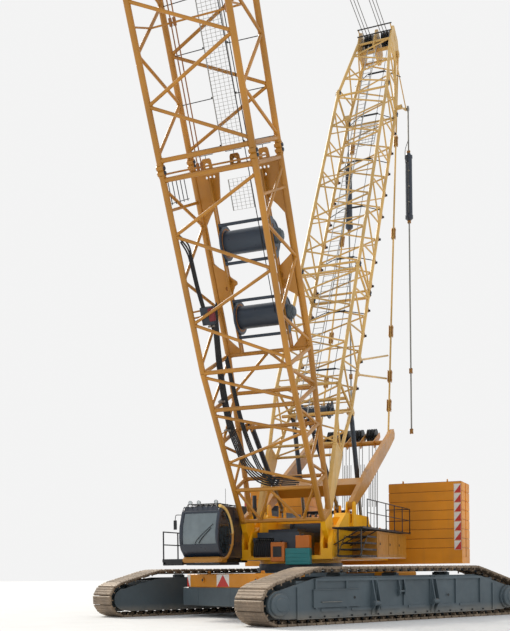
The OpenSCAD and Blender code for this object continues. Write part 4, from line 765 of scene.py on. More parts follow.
def make_head():
    s = boom_section()
    s.chords(head(INSERT_END + END_GAP), head(HEAD_START))
    s.bracing([head(INSERT_END + LACE_IN + i * (HEAD_START - INSERT_END - LACE_IN) / 6) for i in range(7)])
    s.joint(head, INSERT_END, 1)
    s.ring(head(HEAD_START))
    holes = [circle(BOOM_LEN + JIB_PIN[0], JIB_PIN[1], 0.06), *(circle(BOOM_LEN - 1.0, z, 0.17) for z in (-0.3, 0.3))]
    for y in (-0.745, -0.045, 0.655):
        s.wall(moved(HEAD_PLATE, BOOM_LEN, 0), y, y + 0.09, holes)
    for z in (-0.42, 0.42):
        s.across(BOOM_LEN - 1.3, z, -0.7, 0.7, 0.08, 20)

    def pins():
        y, near, far = 0.744, BOOM_LEN - 1.5, BOOM_LEN - 0.2
        s.lathe((BOOM_LEN, y, 0.8), LEFT, [(0.12, 0), (0.12, 0.004), (0.1, 0.006), (0, 0.006)], 24)
        s.lathe((BOOM_LEN - 0.05, y, -0.75), LEFT, [(0.16, 0), (0.16, 0.02), (0.12, 0.035), (0, 0.035)], 24)
        s.bolts((BOOM_LEN - 0.05, y + 0.02, -0.75), LEFT, 0.135, 6, 0.01, 0.01)
        for z in (-0.3, 0.24):
            s.box((near, y, z), (far, y + 0.016, z + 0.06), 0.003)
    s.both(pins)
    s.make("boom_head_welded", "boom", "boom_head")


# ---- mast
MAST_LEN, MAST_MID, SHOULDER, MAST_HEAD = 28.8, 12.0, 23.9, 28.0
MAST_FOOT, MSTOP, MD = 3.01, 5.6, 0.9
MAST_PLATE = [(27.7, -0.6), (28.9, -0.62), (29.22, -0.4), (29.22, 0.4), (28.9, 0.86), (28.1, 0.86), (27.7, 0.6)]
ARM_PLATE = [(24.25, 0.78), (24.49, 0.78), (24.55, 1.02), (25.29, 1.6), (25.24, 1.69), (25.14, 1.68)]


def mast_section():
    return Lattice("mast_yellow", MAST, chord=0.075, ring=0.055, lace=0.0375, end=(0.2, 0.05), lug=(0.15, 0.19))


def mast_hw(s):
    """Half the mast's width."""
    return 1.4 - 0.16 * s / SHOULDER


def mast(s):
    return (s, mast_hw(s), 0.37 + 0.53 * (s - 2.9) / (MSTOP - 2.9) if s < MSTOP else MD)


def mast_top(s):
    return blend((s, 1.24, MD), (s, 0.85, 0.56), (s - SHOULDER) / (MAST_HEAD - SHOULDER))


def make_mast():
    s = mast_section()

    def feet():
        s.box((2.9, 1.32, -0.44), (3.05, 1.48, 0.44), 0.015)
        s.ears(MSTOP, 1.15, 1.29, MD)
        for q in (7.6, 8.4):
            s.box((q - 0.09, mast_hw(q) - 0.06, MD), (q + 0.09, mast_hw(q) + 0.06, MD + 0.15), 0.01)
    s.both(feet)
    y = mast_hw(MSTOP) - 0.02
    for q in (4.9, 5.6):
        s.box((q - 0.05, -y, 0.06), (q + 0.05, y, 0.17), 0.008)
    s.ring(mast(MSTOP))
    s.chords(mast(MAST_FOOT), mast(MSTOP), mast(MAST_MID - END_GAP))
    s.bracing([mast(3.1 + i * 1.2) for i in range(3)])
    s.bracing([mast(5.75 + i * (MAST_MID - MSTOP - 0.45) / 6) for i in range(7)])
    s.ring(mast(MAST_FOOT))
    s.joint(mast, MAST_MID, -1)
    s.make("mast_base_welded", "mast", "mast_base")

    s = mast_section()
    s.chords(mast(MAST_MID + END_GAP), mast(SHOULDER - END_GAP))
    s.bracing([mast(MAST_MID + 0.25 + i * (SHOULDER - MAST_MID - 0.55) / 11) for i in range(12)])
    s.joint(mast, MAST_MID, 1)
    s.joint(mast, SHOULDER, -1)
    s.make("mast_upper_welded", "mast", "mast_upper")

    s = mast_section()
    s.chords(mast_top(SHOULDER + END_GAP), mast_top(MAST_HEAD))
    s.bracing([mast_top(24.15 + i * (MAST_HEAD - 24.15) / 4) for i in range(5)])
    s.lugs(mast(SHOULDER), 1)
    s.ring(mast_top(MAST_HEAD))
    for y in (-0.89, -0.04, 0.81):
        s.plate(MAST_PLATE, y, y + 0.08, 0.008)
    for k, (q, d) in product(BOTH_WAYS, ((28.8, 0), (28.35, 0.62), (28.1, 0.0))):
        s.lathe((q, k * 0.89, d), (0, k, 0), [(0.17, -0.01), (0.17, 0.012), (0.11, 0.016), (0, 0.016)], 24)
    s.across(28.1, 0, -0.85, 0.85, 0.09, 20)

    def arms():
        s.plate(ARM_PLATE, 1.45, 1.53, 0.008)
        s.box((24.25, 1.16, 0.79), (24.49, 1.53, 0.9), 0.01)
        s.tube((28.1, 0.85, 0.72), (25.2, 1.49, 1.6), 0.03, 12)
        s.across(25.2, 1.6, 1.529, 1.64, 0.045, 20, 0.006)
        s.across(28.35, 0.62, 0.889, 1.02, 0.06, 20, 0.006)
        # Stems of the rails over the head
        for q, d, e in ((28.75, -0.62, -0.84), (28.45, -0.6, -0.68)):
            s.tube((q, 0.84, d), (q, 0.84, e), 0.028, 10)
    s.both(arms)
    s.use("black")
    for q, d in ((28.78, -0.86), (28.45, -0.7)):
        s.across(q, d, -0.9, 0.9, 0.03, 10)
    s.make("mast_head_welded", "mast", "mast_head")


# ---- gratings and rails
EDGE_T, BAR_T = 0.012, 0.008
RAIL_H, RAIL_R = 1.05, 0.021


def grating(s, x0, y0, x1, y1, z, step=0.11):
    """A walkway of flat bars with an edge frame, its top at z."""
    for y in (y0, y1 - EDGE_T):
        s.box((x0, y, z - 0.06), (x1, y + EDGE_T, z + 0.01))
    n = max(2, int((x1 - x0) / step))
    for i in range(n + 1):
        x = x0 + (x1 - x0 - BAR_T) * i / n
        s.box((x, y0 + EDGE_T, z - 0.03), (x + BAR_T, y1 - EDGE_T, z))
    for i in range(1, 5):
        y = y0 + (y1 - y0) * i / 5
        s.box((x0, y, z - 0.024), (x1, y + 0.006, z - 0.004))


def railing(s, a, b, posts):
    """Posts with foot sleeves, and two rails, between two points on a deck."""
    a, b, up = Vector(a), Vector(b), Vector((0, 0, RAIL_H))
    for i in range(posts):
        p = a.lerp(b, i / (posts - 1))
        s.tube(p, p + up, RAIL_R, 10)
        s.tube(p, p + Vector((0, 0, 0.05)), RAIL_R * 1.7, 10)
    for t, r in ((1, RAIL_R), (0.52, RAIL_R * 0.8)):
        s.tube(a + up * t, b + up * t, r, 10)


# ---- winches
DRUMS = (8.3, 10.9)
DRUM_D, DRUM_R, DRUM_HALF = 1.3, 0.41, 0.85
FLANGE_R, FLANGE_T, YOKE_Y, YOKE_T = 0.6, 0.07, 0.935, 0.07
TIE_S, TIE_D = 0.65, 1.01
RAIL_S, RAIL_D = (7.09, 13.1), (0.945, 1.195)
MAST_DRUM = (5.25, 0.4)
GEARBOX = [(0.26, 0), (0.26, 0.1), (0.235, 0.12), (0.235, 0.15), (0.17, 0.165), (0.17, 0.22), (0.15, 0.23), (0, 0.23)]


def wound_drum(s, at, half, r, turns, rope):
    """A drum with its outer layer of rope."""
    rows = [(r + rope * (i % 2), -half + i * half / turns) for i in range(2 * turns + 1)]
    s.lathe(at, LEFT, rows, 28)


def flange(s, at, k, r, t, core):
    """A drum's flange with a groove and a hub on its outer face."""
    s.lathe(at, (0, k, 0), [(core, 0), (r - 0.015, 0), (r, 0.012), (r, t - 0.012), (r - 0.015, t), (r * 0.9, t),
                            (r * 0.88, t * 0.7), (r * 0.56, t * 0.7), (r * 0.54, t), (r * 0.4, t), (r * 0.37, t * 0.6),
                            (r * 0.2, t * 0.6)], 40)


def make_winches():
    s = Shape("drum", BOOM)
    side = YOKE_Y + YOKE_T
    for q in DRUMS:
        s.use("drum")
        wound_drum(s, (q, 0, DRUM_D), DRUM_HALF, DRUM_R - 0.006, 34, 0.006)
        yoke = spread(q, (TIE_S + 0.06, 0.95), (TIE_S, 1.2), (0.19, DRUM_D + 0.19))
        for k in BOTH_WAYS:
            way = (0, k, 0)
            flange(s, (q, k * DRUM_HALF, DRUM_D), k, FLANGE_R, FLANGE_T, DRUM_R - 0.02)
            s.bolts((q, k * (DRUM_HALF + FLANGE_T), DRUM_D), way, FLANGE_R * 0.47, 12, 0.012, 0.01)
            s.use("bronze").lathe((q, k * (DRUM_HALF - 0.001), DRUM_D), (0, -k, 0),
                                  [(0.5, 0), (0.5, 0.006), (0.44, 0.006), (0.44, 0)], 40)
            s.use("drum").across(q, DRUM_D, k * 0.9, k * YOKE_Y, 0.15, 24)
            s.wall(yoke, k * YOKE_Y, k * side, [circle(q + e, 1.08, 0.075) for e in (-0.38, 0.38)])
            s.lathe((q, k * side, DRUM_D), way, [(0.2, 0), (0.2, 0.02), (0.18, 0.03), (0, 0.03)], 28)
        for t in (-TIE_S, TIE_S):
            s.across(q + t, TIE_D, -YOKE_Y, YOKE_Y, 0.055, 16)
        # Gearbox outside the left end, with its motor
        s.use("grey").lathe((q, side, DRUM_D), LEFT, GEARBOX, 32)
        s.bolts((q, side + 0.12, DRUM_D), LEFT, 0.247, 16, 0.009, 0.012)
        s.bolts((q, side + 0.23, DRUM_D), LEFT, 0.11, 8, 0.01, 0.01)
    s.use("yellow")

    def rails():
        (a, b), (low, top) = RAIL_S, RAIL_D
        s.box((a, YOKE_Y + 0.02, low), (b, side - 0.02, top))
        for d, e in ((low, 0.02), (top, -0.02)):
            s.box((a, YOKE_Y, d), (b, side, d + e), 0.004)
        for q in (7.4, 9.6, 12.2, 12.8):
            s.box((q, YOKE_Y, low + 0.02), (q + 0.015, side, top - 0.02))
    s.both(rails)
    s.make("boom_winch_set", "boom", "boom_winches")


def make_mast_winch():
    s = Shape("drum", MAST)
    q, d = MAST_DRUM
    wound_drum(s, (q, 0, d), 0.56, 0.22, 22, 0.011)
    for k in BOTH_WAYS:
        flange(s, (q, k * 0.56, d), k, 0.33, 0.05, 0.21)
        s.across(q, d, k * 0.6, k * 0.8, 0.11, 24, 0.01)
        s.wall(spread(q, (0.4, 0.17), (0.4, 0.23), (0.16, 0.56)), k * 0.7, k * 0.75,
               [circle(q + e, 0.28, 0.04) for e in (-0.25, 0.25)])
        s.bolts((q, k * 0.8, d), (0, k, 0), 0.07, 6, 0.01, 0.01)
    s.make("mast_winch_set", "mast", "mast_winch")


# ---- what hangs in the boom: walkways, hoses, ropes
# How many hoses run side by side, and their way
HOSE_RUNS = [(5, [(8.96, -1.18), (7.0, -1.42), (5.76, -1.49), (4.62, -1.49), (3.04, -1.15), (2.4, -0.55),
                  (2.38, 0.88)]),
             (3, [(7.2, -1.05), (4.96, -0.96), (3.8, -0.79), (2.8, -0.51), (2.38, 0.1)])]


def make_boom_fittings():
    s = Shape("grating", BOOM)
    grating(s, 13.95, -0.32, 25.9, 0.48, 1.06)
    grating(s, 11.95, -0.3, 12.95, 0.5, 1.06)
    grating(s, 27.0, -0.3, 33.9, 0.3, 0.45)
    s.use("black")
    for i in range(9):
        q = 14.0 + i * 1.45
        for y, foot_y, k in ((-0.36, -0.33, -1), (0.49, 0.49, 1)):
            s.box((q, y, 0.98), (q + 0.05, y + 0.03, 1.09), 0.006)
            s.tube((q, k * (HW - 0.05), HD - 0.02), (q, foot_y, 1.02), 0.014, 8)
    # Bundles of hoses, clamped to the rings and to the right front chord
    s.use("hose")
    for count, run in HOSE_RUNS:
        for j in range(count):
            s.pipe([(q + 0.05 * j, y + 0.02 * j, -0.36 + 0.07 * j) for q, y in run], 0.029, 8, 0.9)
    s.use("steel")
    for q, y in ((8.4, -1.3), (5.7, -1.49), (4.6, -1.49)):
        s.box((q, y - 0.1, -0.46), (q + 0.07, y + 0.14, -0.4), 0.006)
        s.box((q, y - 0.12, -0.46), (q + 0.07, y - 0.09, 0.02), 0.004)
    s.use("yellow")
    for q in (5.6, 4.6):
        s.tube((q + 0.03, -HW, -foot(q)[2]), (q + 0.03, -1.49, -0.42), 0.025, 8)
    for y in (-0.5, 0.2, 0.85):
        s.tube((2.36, y, -foot(2.35)[2]), (2.4, y, -0.4), 0.025, 8)
    # Valve block with its unions
    s.use("dark").box((8.6, -1.3, -1.12), (9.2, -0.85, -0.92), 0.012)
    s.use("maroon").box((8.72, -1.0, -1.17), (9.15, -0.8, -1.0), 0.02)
    s.use("hose")
    for i in range(3):
        y = 0.05 * i
        s.pipe([(9.1, -1.22 + y, -1.05), (9.9, -1.3 + y, -1.05), (11.0 + 0.15 * i, -1.34 + y, -1.05),
                (11.4 + 0.1 * i, -1.5, -1.1)], 0.03, 8, 0.2)
    for i in range(5):
        q, y = 8.68 + i * 0.11, -1.24
        s.use("steel").tube((q, y, -0.93), (q, y, -0.83), 0.026, 8)
        s.use("hose").pipe([(q, y, -0.85), (q, y, -0.6), (8.3 + i * 0.02, -1.3, -0.4 + i * 0.04)], 0.02, 8, 0.2)
    s.use("yellow")
    for q in (8.9, 9.1):
        s.tube((q, -HW, -HD), (q, -1.28, -1.02), 0.03, 8)
    # Hoist ropes from the winches to the head, and thin control lines beside them
    s.use("cable")
    for q, y in zip(DRUMS, (0.62, 0.74)):
        s.tube((q + 0.1, y, DRUM_D - DRUM_R + 0.02), (BOOM_LEN - 1.3, y * 0.6, 0.5), 0.016, 8)
    s.use("bronze")
    for y in (-0.72, -0.86, 1.05, 1.2):
        s.tube((13.3, y, 0.0), (26.4, y + 0.05, 0.0), 0.022, 8)
        for i in range(4):
            q = 13.4 + i * 4.2
            s.box((q, y - 0.04, -0.04), (q + 0.24, y + 0.05, 0.04), 0.01)
    s.use("yellow")
    for q in (13.4, 17.6, 21.8, 26.0):
        q, y = q + 0.1, HW - 0.06
        s.across(q, 0.0, -y, y, 0.03, 10)
        for k in BOTH_WAYS:
            s.tube((q, k * y, 0.0), (q, k * HW, -HD + 0.06), 0.03, 10)
    # Comb of rods on the right, beyond the upper winch
    s.use("black")
    for i in range(5):
        z = -0.9 + i * 0.32
        s.tube((13.3, -HW, z), (12.55, -HW, z), 0.016, 8)
    s.tube((12.6, -HW, -1.0), (12.6, -HW, 0.5), 0.012, 6)
    s.make("boom_fittings", "boom")


# ---- mast: ladder, ropes, guides
def make_mast_fittings():
    s = Shape("grating", MAST)
    left, right = -0.28, 0.16
    for y in (left, right):
        s.tube((3.3, y, -MD + 0.12), (27.8, y, -0.5), 0.022, 8)
    for i in range(82):
        q = 3.4 + i * 0.3
        s.across(q, -MD + 0.12 + (q - 3.3) / 24.5 * (MD - 0.62), left, right, 0.012, 6)
    for a, b in ((MAST_MID + 0.5, MAST_MID + 1.7), (SHOULDER - 2.0, SHOULDER - 0.5)):
        grating(s, a, -0.4, b, 0.4, MD - 0.1, 0.2)
    s.use("mast_yellow")
    for q in (6.0, 9.0, MAST_MID - 0.3, 15.0, 18.0, 21.0, SHOULDER - 0.2):
        for k in BOTH_WAYS:
            s.across(q, k * (MD - 0.03), -mast_hw(q), mast_hw(q), 0.028, 10)
    s.use("cable")
    for y in (-0.3, 0.42):
        s.tube((5.4, y, 0.62), (28.6, y, 0.36), 0.013, 8)
    s.use("black")
    for i in range(7):
        q = 7.6 + i * 3.2
        d = 0.62 - (q - 5.4) / 23.2 * 0.26
        s.box((q, -0.4, d - 0.05), (q + 0.05, 0.5, d - 0.016), 0.006)
        s.across(q + 0.02, d, -0.4, 0.5, 0.03, 10)
        for k in BOTH_WAYS:
            s.tube((q + 0.02, k * 0.42, d - 0.03), (q + 0.02, k * mast_hw(q) * 0.99, MD - 0.02), 0.02, 8)
    # Rope guides on the rear chords
    for i in range(12):
        q = 7.0 + i * 1.45
        guide = [(q - 0.12, MD + 0.05), (q + 0.12, MD + 0.05), (q - 0.02, MD + 0.3), (q - 0.16, MD + 0.3)]
        for k in BOTH_WAYS:
            y = k * mast_hw(q)
            s.use("bronze").plate(guide, y - 0.02, y + 0.02, 0.004)
            s.use("black").across(q - 0.09, MD + 0.27, y - 0.09, y + 0.09, 0.055, 14)
    s.make("mast_fittings", "mast")


# ---- crawlers
WHEEL_HALF, TURN_R, TOP_HALF, TRACK_H, TOP_R = 5.56, 0.7, 3.85, 1.88, 0.4
SHOE_W, SHOE_T, SHOE_PITCH, SHOE_GAP = 1.5, 0.08, 0.4, 0.05
ROUNDS = [(-WHEEL_HALF, TURN_R, TURN_R), (WHEEL_HALF, TURN_R, TURN_R),
          (TOP_HALF, TRACK_H - TOP_R, TOP_R), (-TOP_HALF, TRACK_H - TOP_R, TOP_R)]
GAUGE_HALF, PLATE_Y = 5.0, 0.65
# A shoe that heads forward by more than this lies on the ground, where its sole doesn't show
ON_GROUND = 0.9
HUB = [(0.43, -0.07), (0.44, -0.05), (0.43, 0.0), (0.37, 0.012), (0.36, 0.1), (0.33, 0.13), (0.22, 0.14), (0.2, 0.17),
       (0, 0.175)]


def track_loop():
    """For each wheel of the loop: itself, the first and last angle of its arc, and the straight run that follows."""
    runs = []
    for a, b in zip(ROUNDS, ROUNDS[1:] + ROUNDS[:1]):
        v = Vector((b[0] - a[0], b[1] - a[1]))
        k = a[2] - b[2]
        runs.append((math.atan2(v.y, v.x) - math.acos(k / v.length), math.sqrt(v.length_squared - k * k)))
    out = []
    for k, (a, (end, run)) in enumerate(zip(ROUNDS, runs)):
        start = runs[k - 1][0]
        while start > end:
            start -= 2 * math.pi
        out.append((a, start, end, run))
    return out


def loop_point(loop, s):
    """The point at a distance along the loop."""
    for (x, z, r), start, end, run in loop:
        arc = r * (end - start)
        if s < arc:
            g = start + s / r
            return Vector((x + r * math.cos(g), 0, z + r * math.sin(g)))
        s -= arc
        if s < run:
            return Vector((x + r * math.cos(end) - s * math.sin(end), 0, z + r * math.sin(end) + s * math.cos(end)))
        s -= run
    return loop_point(loop, s)


def draw_shoe(s, half, edge, sole):
    """A shoe with its chain lugs and the pin behind it. Where the sole shows it has ribs and bolts."""
    s.use("shoe").box((-half, -edge, -SHOE_T), (half, edge, 0), 0.014)
    if sole:
        for q in (-0.115, 0.0, 0.115):
            s.box((q - 0.035, -edge + 0.04, -0.004), (q + 0.035, edge - 0.04, 0.014), 0.008)
    for k in BOTH_WAYS:
        s.box((-0.13, k * 0.15, -0.185), (0.13, k * 0.31, -SHOE_T + 0.01), 0.02)
        s.box((-0.02, k * 0.7, -0.15), (0.02, k * (SHOE_W / 2 - 0.006), -SHOE_T + 0.01), 0.004)
        if sole:
            for q in (-0.115, 0.115):
                s.bolt((q, k * 0.4, 0.013), UP, 0.018, 0.01)
    s.use("dark").across(-half - SHOE_GAP / 2, -0.13, -0.33, 0.33, 0.032, 10)


def make_track(name, side):
    s = Shape("shoe", CRAWLER @ Matrix.Translation((0, side * GAUGE_HALF, 0)))
    loop = track_loop()
    total = sum(a[2] * (e - b) + r for a, b, e, r in loop)
    n = round(total / SHOE_PITCH)
    step = total / n
    rng = random.Random(7)
    for i in range(n):
        a, b = loop_point(loop, i * step + SHOE_GAP), loop_point(loop, (i + 1) * step)
        u = (b - a).normalized()
        with s.inside(axes((a + b) / 2, u, Vector(LEFT), Vector((u.z, 0, -u.x)))):
            draw_shoe(s, (b - a).length / 2, SHOE_W / 2 - 0.004 * rng.random(), u.x < ON_GROUND)
    s.make(name + "_shoes", "root", name)


def make_track_fittings():
    s = Shape("grey")
    y = PLATE_Y
    high = [(y, 1.52), (y + 0.05, 1.52), (y + 0.24, 0.72), (y + 0.24, 0.6), (y + 0.17, 0.52), (y, 0.24)]
    low = [(y, 1.46), (y + 0.05, 1.46), (y + 0.15, 1.1), (y + 0.13, 0.92), (y, 0.84)]
    for side in (Matrix(), FLIP):
        s.m = CRAWLER @ side @ Matrix.Translation((0, GAUGE_HALF, 0))
        s.use("grey").box((-4.8, y, 0.2), (4.8, y + 0.05, 0.235), 0.005)
        for x in (4.76, -4.72):
            s.box((x - 0.03, y, 0.22), (x + 0.03, y + 0.05, 1.24), 0.006)
        for x in (1.42, -1.47):
            for e in (-0.13, 0.09):
                s.rib(high, x + e, x + e + 0.04)
            s.tube((x - 0.15, y + 0.16, 0.64), (x + 0.15, y + 0.16, 0.64), 0.085, 20, 0.012)
            s.disc((x + 0.149, y + 0.16, 0.64), FORWARD, 0.045, 0.02, 16)
        for x in (0.28, 0.02):
            s.rib(low, x - 0.02, x + 0.02)
        s.tube((-0.02, y + 0.08, 1.02), (0.32, y + 0.08, 1.02), 0.04, 16)
        # Door panel with its hinge strip and handle
        s.box((2.1, y, 0.56), (4.12, y + 0.062, 1.16), 0.006)
        s.box((2.14, y + 0.06, 1.12), (4.1, y + 0.085, 1.15), 0.004)
        s.use("steel").pipe([(3.81, y + 0.06, 0.74), (3.81, y + 0.12, 0.74), (2.95, y + 0.12, 0.74),
                             (2.95, y + 0.06, 0.74)], 0.014, 8, 0.03)
        s.use("black")
        for x, z in ((2.35, 0.86), (-2.22, 0.84)):
            s.disc((x, y + 0.062, z), LEFT, 0.05, 0.004, 18)
        for i in range(15):
            x = -4.2 + i * 0.6
            s.box((x, y, 0.235), (x + 0.05, y + 0.03, 0.3))
        s.use("grey")
        for x in (-WHEEL_HALF, WHEEL_HALF):
            s.lathe((x, y + 0.07, TURN_R), LEFT, HUB, 40)
            s.bolts((x, y + 0.075, TURN_R), LEFT, 0.4, 18, 0.012, 0.012)
            s.bolts((x, y + 0.2, TURN_R), LEFT, 0.275, 10, 0.012, 0.012)
    s.make("track_frame_fittings", "root")


# ---- ballast of the carbody, and counterweight
BALLAST, BAND_Z = (2.2, 3.47), (1.17, 1.69)
STACK_X, STACK_Y = (-8.4, -6.5), (1.92, 5.2)
SLAB_Z, SLAB_H, SLAB_N = 2.3, 0.418, 8


def hazard(s, x, lo, hi, red):
    """A white field on a face that looks along X, with a red triangle on it."""
    s.use("white").box((x - 0.002, *lo), (x + 0.004, *hi))
    s.use("red").add([(x + 0.0065, *p) for p in red], [range(len(red))])


def make_ballast():
    s = Shape("grey")
    (x0, x), (z0, z1) = BALLAST, BAND_Z
    low = z0 + 0.02
    for turn in (0, 180):
        s.m = CRAWLER @ Matrix.Rotation(math.radians(turn), 4, "Z")
        s.use("grey").box((x0, -3.3, 0.44), (x - 0.02, 3.3, z0), 0.03)
        for y in (-2.2, 0.0, 2.2):
            s.box((x - 0.025, y - 0.03, 0.48), (x - 0.01, y + 0.03, 1.13), 0.004)
        s.use("yellow_weight").box((x0, -2.95, z0), (x, 2.95, z1), 0.03)
        hazard(s, x, (-0.83, low), (0.0, z1 - 0.03), [(-0.82, low), (0, low), (-0.41, z1 - 0.04)])
        hazard(s, x, (-2.92, low), (-2.7, z1 - 0.03), [(-2.92, low), (-2.74, low), (-2.92, z1 - 0.1)])
        for y in (-1.75, 1.75):
            s.use("yellow_weight").tube((x - 0.01, y, 1.45), (x + 0.05, y, 1.45), 0.1, 20, 0.015)
            s.use("black").tube((x + 0.045, y, 1.45), (x + 0.053, y, 1.45), 0.055, 18)
            s.use("yellow_weight").rib(spread(y, (0.12, z1 - 0.01), (0.07, z1 + 0.1)), x - 0.3, x - 0.26,
                                       [circle(y, z1 + 0.045, 0.03, 12)])
    s.make("ballast_boxes", "root", "carbody_weights")


def make_stacks():
    s = Shape("yellow_weight")
    (x0, x1), (y0, y1) = STACK_X, STACK_Y
    a, b = ((x0 + x1) / 2 + e for e in (-0.09, 0.09))
    outline = [(x0, y0), (x1, y0), (x1, y1), (b, y1), (b, y1 - 0.09), (a, y1 - 0.09), (a, y1), (x0, y1)]

    def stack():
        for i in range(SLAB_N):
            z = SLAB_Z + i * SLAB_H
            s.use("yellow_weight").slab(inset(outline, 0.012), z, z + 0.406)
            s.slab(outline, z + 0.014, z + 0.392)
            s.use("black").slab(inset(outline, 0.03), z + 0.4, z + SLAB_H)
            s.use("yellow_weight")
            for y in (2.4, 4.7):
                s.disc((x1 - 0.003, y, z + 0.2), FORWARD, 0.03, 0.006, 12)
        z = SLAB_Z + SLAB_N * SLAB_H - 0.01
        for x, y in product((x0 + 0.3, x1 - 0.3), (2.5, 4.5)):
            s.plate(spread(x, (0.12, z), (0.06, z + 0.14)), y, y + 0.04, 0.006)
        for i in range(1, SLAB_N):
            z = SLAB_Z + (i - 1) * SLAB_H + 0.32
            hazard(s, x1, (4.86, z), (5.17, z + 0.4), [(4.87, z + 0.01), (5.16, z + 0.01), (5.16, z + 0.39)])
    s.both(stack)
    s.make("counterweight_stacks", "upper", "weight_slabs")


# ---- cab
CAB_Y = (-3.34, -1.78)
CAB_SIDE = [(1.75, 2.26), (3.52, 2.26), (3.88, 2.59), (3.985, 2.83), (4.0, 3.06), (3.96, 3.46), (3.77, 3.96),
            (3.58, 4.21), (1.75, 4.21)]
CAB_BAR = [(1.8, 2.3), (3.5, 2.3), (3.85, 2.62), (3.955, 3.06), (3.9, 3.46), (3.72, 3.96), (3.54, 4.17), (1.8, 4.17)]
SIDE_PANE = [(3.5, 2.44), (3.76, 2.68), (3.86, 3.06), (3.82, 3.44), (3.64, 3.92), (3.48, 4.06), (3.2, 4.0),
             (2.86, 3.62), (2.7, 3.2), (2.78, 2.76), (3.1, 2.46)]
DOOR_HOLE = [(2.2, 2.35), (3.0, 2.35), (3.0, 4.06), (2.2, 4.06)]
RIGHT_PANE = [(3.08, 2.59), (3.53, 2.59), (3.77, 2.88), (3.86, 3.31), (3.7, 3.76), (3.52, 3.99), (3.08, 3.99)]
WINDSCREEN = [(3.91, 2.76), (3.955, 3.06), (3.915, 3.46), (3.73, 3.97)]
ARCH = [(3.72, 4.2), (3.26, 4.13), (2.84, 3.78), (2.62, 3.3), (2.66, 2.77), (3.1, 2.3), (3.5, 2.22)]


def rect(a0, b0, a1, b1):
    return [(a0, b0), (a1, b0), (a1, b1), (a0, b1)]


def grown(points, x0):
    """A pane's outline, a little larger than its hole."""
    return [(x + (x - x0) * 0.02, z + (z - 3.2) * 0.02) for x, z in points]


